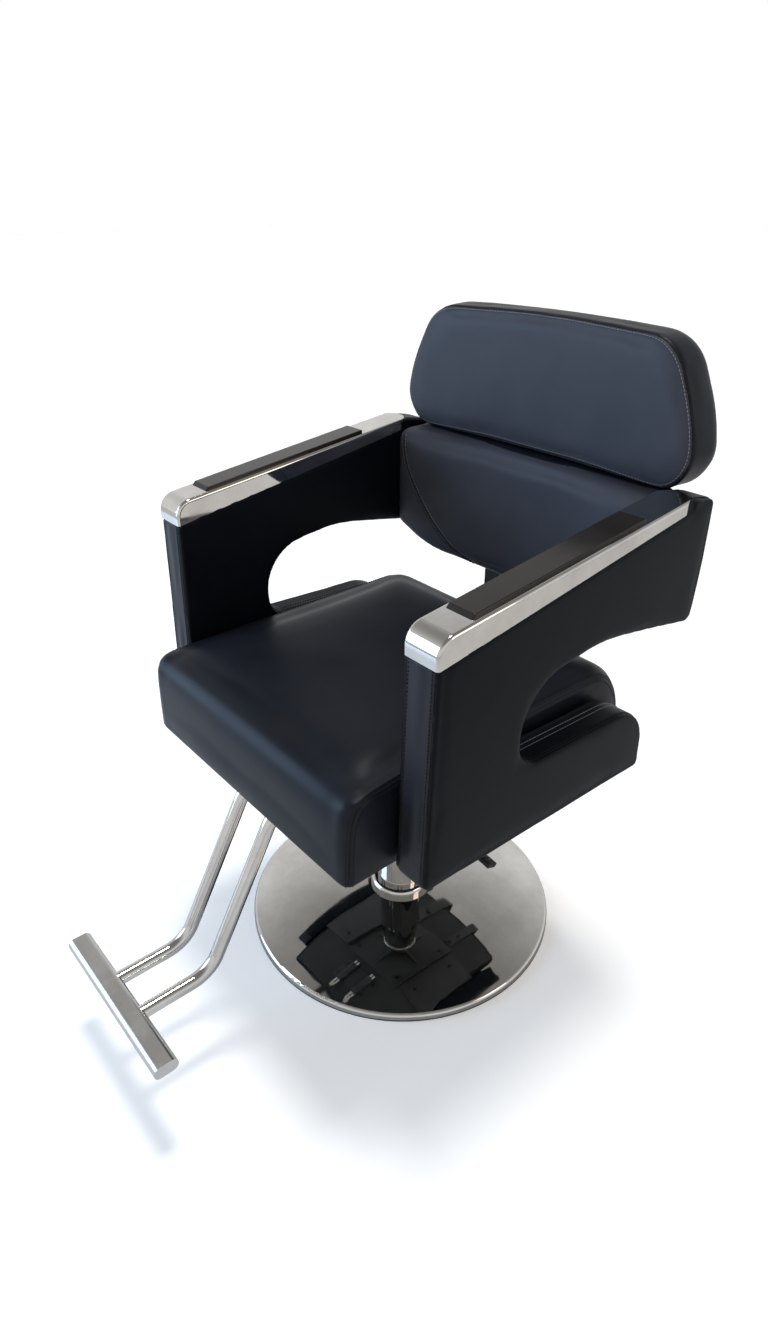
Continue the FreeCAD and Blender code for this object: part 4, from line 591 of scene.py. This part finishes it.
# Gives the faces that a rule picks by their centres a second leather tone, which may be a painted lit
# or shaded copy of the leather
def secondLeather(piece, finish, rule):
    centres = np.empty(len(piece.data.polygons) * 3)
    piece.data.polygons.foreach_get("center", centres)
    piece.data.materials.append(materials[finish])
    picked = rule(*centres.reshape(-1, 3).T).astype(np.int32)
    piece.data.polygons.foreach_set("material_index", picked)


# Hides the CAD node that a cushion stands for and attaches the cushion and its trim to the body
def dress(skin, parts, body, node):
    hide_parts(node)
    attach(skin, body)
    for part in parts:
        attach(part, body)


# Presses a seam into a skin, then lays a thin near-black cord in its groove, painted shade of the
# groove, and rows of stitches
def sewn(name, skin, line, values, rows, closed=False):
    line = relaxed(evenly(line, seam["step"], closed), seam["span"], closed)
    line, _ = onSkin(skin, line, closed, seam["smooth"])
    pressSeam(skin, line, values["seamDepth"], values["seamWidth"], values.get("pucker", 0.0))
    line, normal = onSkin(skin, line, closed, seam["smooth"])
    # Near-black cord along the groove: painted shade of the seam
    parts = [tube(name + "_cord", line + seam["cordLift"] * normal, normal, values["cord"],
                  materials["thread"], closed, seam["cordSides"])]
    for row, (shift, finish) in rows.items():
        parts.append(stitches(f"{name}_{row}", skin, line, stitch, materials[finish], shift, closed))
    return parts


# Seat: one panel over the front, the top and the rear, sewn to a boxing at each side
seat = {"voxel": 0.0066, "drawIn": 0.0010, "cap": 0.007, "give": 0.0004, "calm": 44,
        "edgeReach": 0.017, "edgePull": 0.6, "pressure": 4.0, "stiffness": 15.0, "bending": 0.5,
        "finer": 1, "seamDepth": 0.0018, "seamWidth": 0.0032, "stitchShift": 0.0052,
        "cord": 0.0009, "fill": 0.8, "finish": "leather",
        "heldHeights": (0.411, 0.440), "topHeights": (0.44, 0.48), "topPasses": 3,
        "frontReach": (0.12, 0.30), "frontHeights": (0.44, 0.54), "frontPasses": 34,
        "sideEdge": 0.255, "sideFade": 0.045}

# Seam between the wrapped panel and the boxing at one side (x, y, z), from front to rear
seatSeam = np.array([
    (252, -312, 414), (252, -311, 443), (252, -309, 475), (253, -307, 506), (253, -303, 525),
    (254, -294, 539), (255, -279, 547), (255, -253, 551), (255, -200, 552), (255, -60, 552),
    (255, 80, 551), (255, 140, 550), (254, 174, 548), (252, 196, 538), (251, 212, 523),
    (250, 234, 492), (250, 247, 465), (250, 252, 430), (250, 251, 416)]) * mm


# Passes and shares of softening: the rolled top a little, the front edge a lot
def seatSoftening(places):
    x, y, z = places.T
    front = (rise(-y, *seat["frontReach"]) * rise(z, *seat["frontHeights"])
             * rise(seat["sideEdge"] - abs(x), 0.0, seat["sideFade"]))
    return [(seat["topPasses"], rise(z, *seat["topHeights"])), (seat["frontPasses"], front)]


seatSkin = swollen("seat_leather", "seat_cushion", seat,
                   lambda places: rise(places[:, 2], *seat["heldHeights"]),
                   seatSoftening,
                   [evenly(seatSeam * (sign, 1, 1), seam["pullStep"]) for sign in (1, -1)])

seatParts = []
for side, sign in (("left", 1), ("right", -1)):
    seatParts += sewn(f"seat_seam_{side}", seatSkin, seatSeam * (sign, 1, 1), seat,
                      {"panel": (seat["stitchShift"], "thread"),
                       "boxing": (-seat["stitchShift"], "thread")})
dress(seatSkin, seatParts, "seat", "seat_cushion")

# Arms: flat sides, a boxing strip round the C outline between two sewn seams
# The arms' sides take the darker arm leather, painted shade
arm = {"voxel": 0.005, "drawIn": 0.0006, "cap": 0.0018, "give": 0.0001, "calm": 4,
       "pressure": 3.0, "stiffness": 30.0, "bending": 1.0, "finer": 1, "seamDepth": 0.0014,
       "seamWidth": 0.0026, "cord": 0.0006, "inner": 0.268, "outer": 0.3155,
       "stitchShift": 0.0036, "fill": 0.9, "finish": "armLeatherPaintedShade", "paintedSheenRows": (0.281, 0.2895),
       "openingDepths": (-0.1, 0.215), "openingHeights": (0.505, 0.672), "frontStrip": -0.2}
armSkin = swollen("arm_leather_left", "arm_panel_left", arm,
                  lambda places: np.ones(len(places)))
armOutline = roundedOutline([
    (242, 829), (290.8, 820.2, 9.7), (294, 726, 200), (289, 630, 14), (70, 669, 300),
    (-88, 649, 81), (-74, 529, 42), (208, 516, 78), (216.8, 397, 10), (-246, 412, 12),
    (-235, 736)], arcSteps=14, closed=False) * mm
armParts = []
for side, across in (("inner", arm["inner"]), ("outer", arm["outer"])):
    path = np.column_stack([np.full(len(armOutline), across), armOutline])
    inwards = arm["stitchShift"] if side == "outer" else -arm["stitchShift"]
    armParts += sewn(f"arm_seam_{side}_left", armSkin, path, arm, {"row": (inwards, "thread")})
armLow, armHigh = np.array([arm["openingDepths"], arm["openingHeights"]]).T
insideC = armOutline[((armOutline > armLow) & (armOutline < armHigh)).all(1)]
# Rows of lightened thread inside the C: painted sheen on the strip's stitches
for row, across in enumerate(arm["paintedSheenRows"]):
    path = np.column_stack([np.full(len(insideC), across), insideC])
    armParts.append(stitches(f"arm_strip_row{row + 1}_left", armSkin, path, stitch,
                             materials["paleThread"]))
# The front strip takes the lighter strip leather: painted highlight of the window light
secondLeather(armSkin, "stripLeatherPaintedLight",
              lambda x, y, z: (x > arm["inner"]) & (x < arm["outer"]) & (y < arm["frontStrip"]))
armRight = mirrorPiece(armSkin, "arm_leather_right")
armPartsRight = [mirrorPiece(part, part.name.replace("left", "right")) for part in armParts]
dress(armSkin, armParts, "seat", "arm_panel_left")
dress(armRight, armPartsRight, "seat", "arm_panel_right")

# Lower back: hollow front with a curved seam down each side of the middle panel
# The lower back's front takes the lighter back leather, painted light of the window
lowerBack = {"voxel": 0.005, "drawIn": 0.001, "cap": 0.007, "give": 0.0003, "calm": 10,
             "pressure": 3.0, "stiffness": 18.0, "bending": 0.6, "finer": 1,
             "seamDepth": 0.0022, "seamWidth": 0.003, "cord": 0.0010, "pucker": 0.0002,
             "stitchShift": 0.0048, "fill": 0.75, "finish": "backLeatherPaintedLight", "rear": 0.292,
             "heldDepths": (0.004, 0.03), "side": 0.262, "sideFade": 0.006, "softPasses": 2,
             "topRise": 0.0023, "topHeights": (0.790, 0.814), "rim": 0.028}


# Share of swelling of the lower back: none at its board and at its sides
def lowerBackHeld(places):
    return (rise(lowerBack["rear"] - places[:, 1], *lowerBack["heldDepths"])
            * rise(lowerBack["side"] - abs(places[:, 0]), 0.0, lowerBack["sideFade"]))


# Raises the upper edge a little, which closes the gap below the head pad
def lowerBackRaised(places):
    lift = lowerBack["topRise"] * rise(places[:, 2], *lowerBack["topHeights"])
    return places + np.outer(lift, (0, 0, 1))


lowerSkin = swollen("lower_back_leather", "lower_back_pad", lowerBack, lowerBackHeld,
                    lambda places: [(lowerBack["softPasses"], np.ones(len(places)))],
                    reshape=lowerBackRaised)
lowerSeam = np.array([
    (-247, 211, 806), (-245, 211, 790), (-241, 212, 772), (-234.6, 214, 751), (-224, 218, 728),
    (-205, 224, 694), (-182, 230, 661), (-160, 236, 639), (-139, 240, 620), (-117, 244, 606),
    (-96, 248, 598)]) * mm
lowerParts = []
# Inner rows in lightened thread, painted sheen beside the welt; outer rows in the plain dark thread
for side, sign in (("right", 1), ("left", -1)):
    lowerParts += sewn(f"lower_back_seam_{side}", lowerSkin, lowerSeam * (sign, 1, 1), lowerBack,
                       {"inner": (lowerBack["stitchShift"] * sign, "paleThread"),
                        "outer": (-lowerBack["stitchShift"] * sign, "thread")})
# The rear rim keeps the plain seat leather, without the painted light of the front
secondLeather(lowerSkin, "leather", lambda x, y, z: y > lowerBack["rear"] - lowerBack["rim"])
dress(lowerSkin, lowerParts, "seat", "lower_back_pad")

# Head pad: the front panel is sewn to its boxing along the rounded edge of the front face; the
# seam's inset and seamBack, the front and its hollowRadius are in millimetres
# The head pad's front panel takes the lighter back leather, painted light of the window
headPad = {"voxel": 0.0045, "drawIn": 0.0008, "cap": 0.005, "give": 0.0003, "calm": 10,
           "pressure": 3.0, "stiffness": 18.0, "bending": 0.6, "finer": 1,
           "seamDepth": 0.0018, "seamWidth": 0.0028, "cord": 0.0009, "pucker": 0.0002,
           "stitchShift": 0.0042, "fill": 0.8, "finish": "backLeatherPaintedLight", "edgeReach": 0.010,
           "edgePull": 0.55, "rear": 0.328, "heldDepths": (0.004, 0.03), "softPasses": 2,
           "inset": 2.2, "front": 273, "hollowRadius": 2682, "seamBack": 5.5,
           "bottomDrop": 0.0034, "dropBelow": 0.850, "dropFade": 0.025}


# Drop of the lower edge at a height, which closes the gap above the lower back
def headDrop(height):
    return headPad["bottomDrop"] * rise(headPad["dropBelow"] - height, 0.0, headPad["dropFade"])


inset = headPad["inset"]
headOutline = roundedOutline([
    (-305 + inset, 820 + inset, 54 - inset), (305 - inset, 820 + inset, 54 - inset),
    (283 - inset, 925, 260), (236 - inset, 1023 - inset, 75 - inset), (0, 1030 - inset, 2500),
    (-236 + inset, 1023 - inset, 75 - inset), (-283 + inset, 925, 260)], arcSteps=12)

# The front is part of a cylinder: it falls away by radius - sqrt(radius^2 - x^2)
fallen = headPad["hollowRadius"] - np.sqrt(headPad["hollowRadius"] ** 2 - headOutline[:, 0] ** 2)
headFront = np.column_stack([headOutline[:, 0], headPad["front"] - fallen + headPad["seamBack"],
                             headOutline[:, 1]]) * mm
headFront[:, 2] -= headDrop(headFront[:, 2])
headSkin = swollen("head_pad_leather", "head_pad", headPad,
                   lambda places: rise(headPad["rear"] - places[:, 1], *headPad["heldDepths"]),
                   lambda places: [(headPad["softPasses"], np.ones(len(places)))],
                   [evenly(headFront, seam["pullStep"], closed=True)],
                   lambda places: places - np.outer(headDrop(places[:, 2]), (0, 0, 1)))
# Panel stitches in lightened thread: painted sheen
headParts = sewn("head_seam", headSkin, headFront, headPad,
                 {"panel": (headPad["stitchShift"], "paleThread")}, closed=True)
# The boxing behind the front panel keeps the plain seat leather, without the painted light
secondLeather(headSkin, "leather", lambda x, y, z: y > (
    headPad["front"] + headPad["seamBack"] - headPad["hollowRadius"]) * mm
    + np.sqrt((headPad["hollowRadius"] * mm) ** 2 - x ** 2))
dress(headSkin, headParts, "head", "head_pad")
print("cushions and seams")

# Stage, light and camera

stage = {"floorHalf": 24.0, "floorTone": 0.88, "lift": 0.30, "skyLight": 0.36,
         "ceiling": (0.30, 0.29, 0.28), "wallTop": 0.36, "ceilingStart": 0.90}


# White floor: diffuse, lifted a little for camera rays, so that only the shadow shows
def makeFloor(values):
    half = values["floorHalf"]
    corners = np.array([[-half, -half, 0], [half, -half, 0], [half, half, 0], [-half, half, 0]])
    material, tree, shader = newMaterial("paleFloor", Roughness=0.9, Specular_IOR_Level=0.0)
    shader.inputs["Base Color"].default_value = (values["floorTone"],) * 3 + (1.0,)
    shader.inputs["Emission Color"].default_value = (1.0, 1.0, 1.0, 1.0)
    path = addNode(tree, "LightPath")
    lift = addNode(tree, "Math", {1: values["lift"]}, operation="MULTIPLY")
    join(tree, path.outputs["Is Camera Ray"], lift.inputs[0])
    join(tree, lift.outputs[0], shader.inputs["Emission Strength"])
    floor = newPiece("floor", corners, [(0, 1, 2, 3)], material)
    return floor


# World: white to camera, glossy and transmission rays, a plain level to all others; gloss also
# sees that the white backdrop ends at a dimmer ceiling
def makeWorld(values):
    world = bpy.data.worlds.new("studio")
    world.use_nodes = True
    scene.world = world
    tree = world.node_tree
    path = addNode(tree, "LightPath")
    place = addNode(tree, "TexCoord")
    split = addNode(tree, "SeparateXYZ")
    height = addNode(tree, "MapRange", {"From Min": values["wallTop"],
                                        "From Max": values["ceilingStart"]})
    height.interpolation_type = "SMOOTHSTEP"
    above = addNode(tree, "Math", operation="MULTIPLY")
    camera = addNode(tree, "Math", operation="MAXIMUM")
    anySeen = addNode(tree, "Math", operation="MAXIMUM")
    backdrop = addNode(tree, "Mix", {"A": (1.0, 1.0, 1.0, 1.0), "B": values["ceiling"] + (1.0,)},
                       data_type="RGBA")
    seen = addNode(tree, "Mix", {"A": (values["skyLight"],) * 3 + (1.0,)}, data_type="RGBA")
    join(tree, place.outputs["Generated"], split.inputs[0])
    join(tree, split.outputs["Z"], height.inputs["Value"])
    join(tree, height.outputs[0], above.inputs[0])
    join(tree, path.outputs["Is Glossy Ray"], above.inputs[1])
    join(tree, above.outputs[0], backdrop.inputs["Factor"])
    join(tree, backdrop.outputs["Result"], seen.inputs["B"])
    join(tree, path.outputs["Is Camera Ray"], camera.inputs[0])
    join(tree, path.outputs["Is Glossy Ray"], camera.inputs[1])
    join(tree, camera.outputs[0], anySeen.inputs[0])
    join(tree, path.outputs["Is Transmission Ray"], anySeen.inputs[1])
    join(tree, anySeen.outputs[0], seen.inputs["Factor"])
    join(tree, seen.outputs["Result"], tree.nodes["Background"].inputs["Color"])


lamps = {
    "key": {"kind": "SUN", "at": (-0.3, 0.4, 2.4), "to": (0, 0, 0), "power": 1.6, "angle": 12.0,
            "colour": (1.0, 0.99, 0.97)},
    "window": {"kind": "AREA", "at": (-1.9, -2.1, 1.3), "to": (0, -0.1, 0.5), "size": (1.6, 1.8),
               "power": 56, "colour": (0.44, 0.68, 1.0)},
    "room": {"kind": "AREA", "at": (2.3, 1.0, 1.9), "to": (0.1, 0, 0.7), "size": (0.9, 1.2),
             "power": 9, "colour": (1.0, 0.80, 0.62)},
}


# Soft lamps: a sun from above, a bluish window in front, a warm patch at the right
def makeLamps(values):
    for name, lamp in values.items():
        light = bpy.data.lights.new(name, lamp["kind"])
        light.energy = lamp["power"]
        light.color = lamp["colour"]
        if lamp["kind"] == "SUN":
            light.angle = math.radians(lamp["angle"])
        else:
            light.shape = "RECTANGLE"
            light.size, light.size_y = lamp["size"]
        holder = bpy.data.objects.new(name, light)
        scene.collection.objects.link(holder)
        holder.location = lamp["at"]
        aim = Vector(lamp["to"]) - Vector(lamp["at"])
        holder.rotation_mode = "QUATERNION"
        holder.rotation_quaternion = aim.to_track_quat("-Z", "Y")


cameraSet = {"at": (0.87857, -0.78277, 1.19775), "back": (0.65864, -0.55612, 0.50689),
             "lens": 22.358, "sensor": 36.0, "clip": (0.05, 60.0)}


# Camera at the photograph's viewing angle, looking against "back"
def makeCamera(values):
    lens = bpy.data.cameras.new("camera")
    lens.sensor_fit = "VERTICAL"
    lens.sensor_height = values["sensor"]
    lens.sensor_width = values["sensor"]
    lens.lens = values["lens"]
    lens.clip_start, lens.clip_end = values["clip"]
    camera = bpy.data.objects.new("camera", lens)
    scene.collection.objects.link(camera)
    camera.location = values["at"]
    camera.rotation_mode = "QUATERNION"
    camera.rotation_quaternion = (-Vector(values["back"])).to_track_quat("-Z", "Y")
    scene.camera = camera


makeFloor(stage)
makeWorld(stage)
makeLamps(lamps)
makeCamera(cameraSet)
scene.view_settings.view_transform = "Standard"
print("stage, lamps and camera")
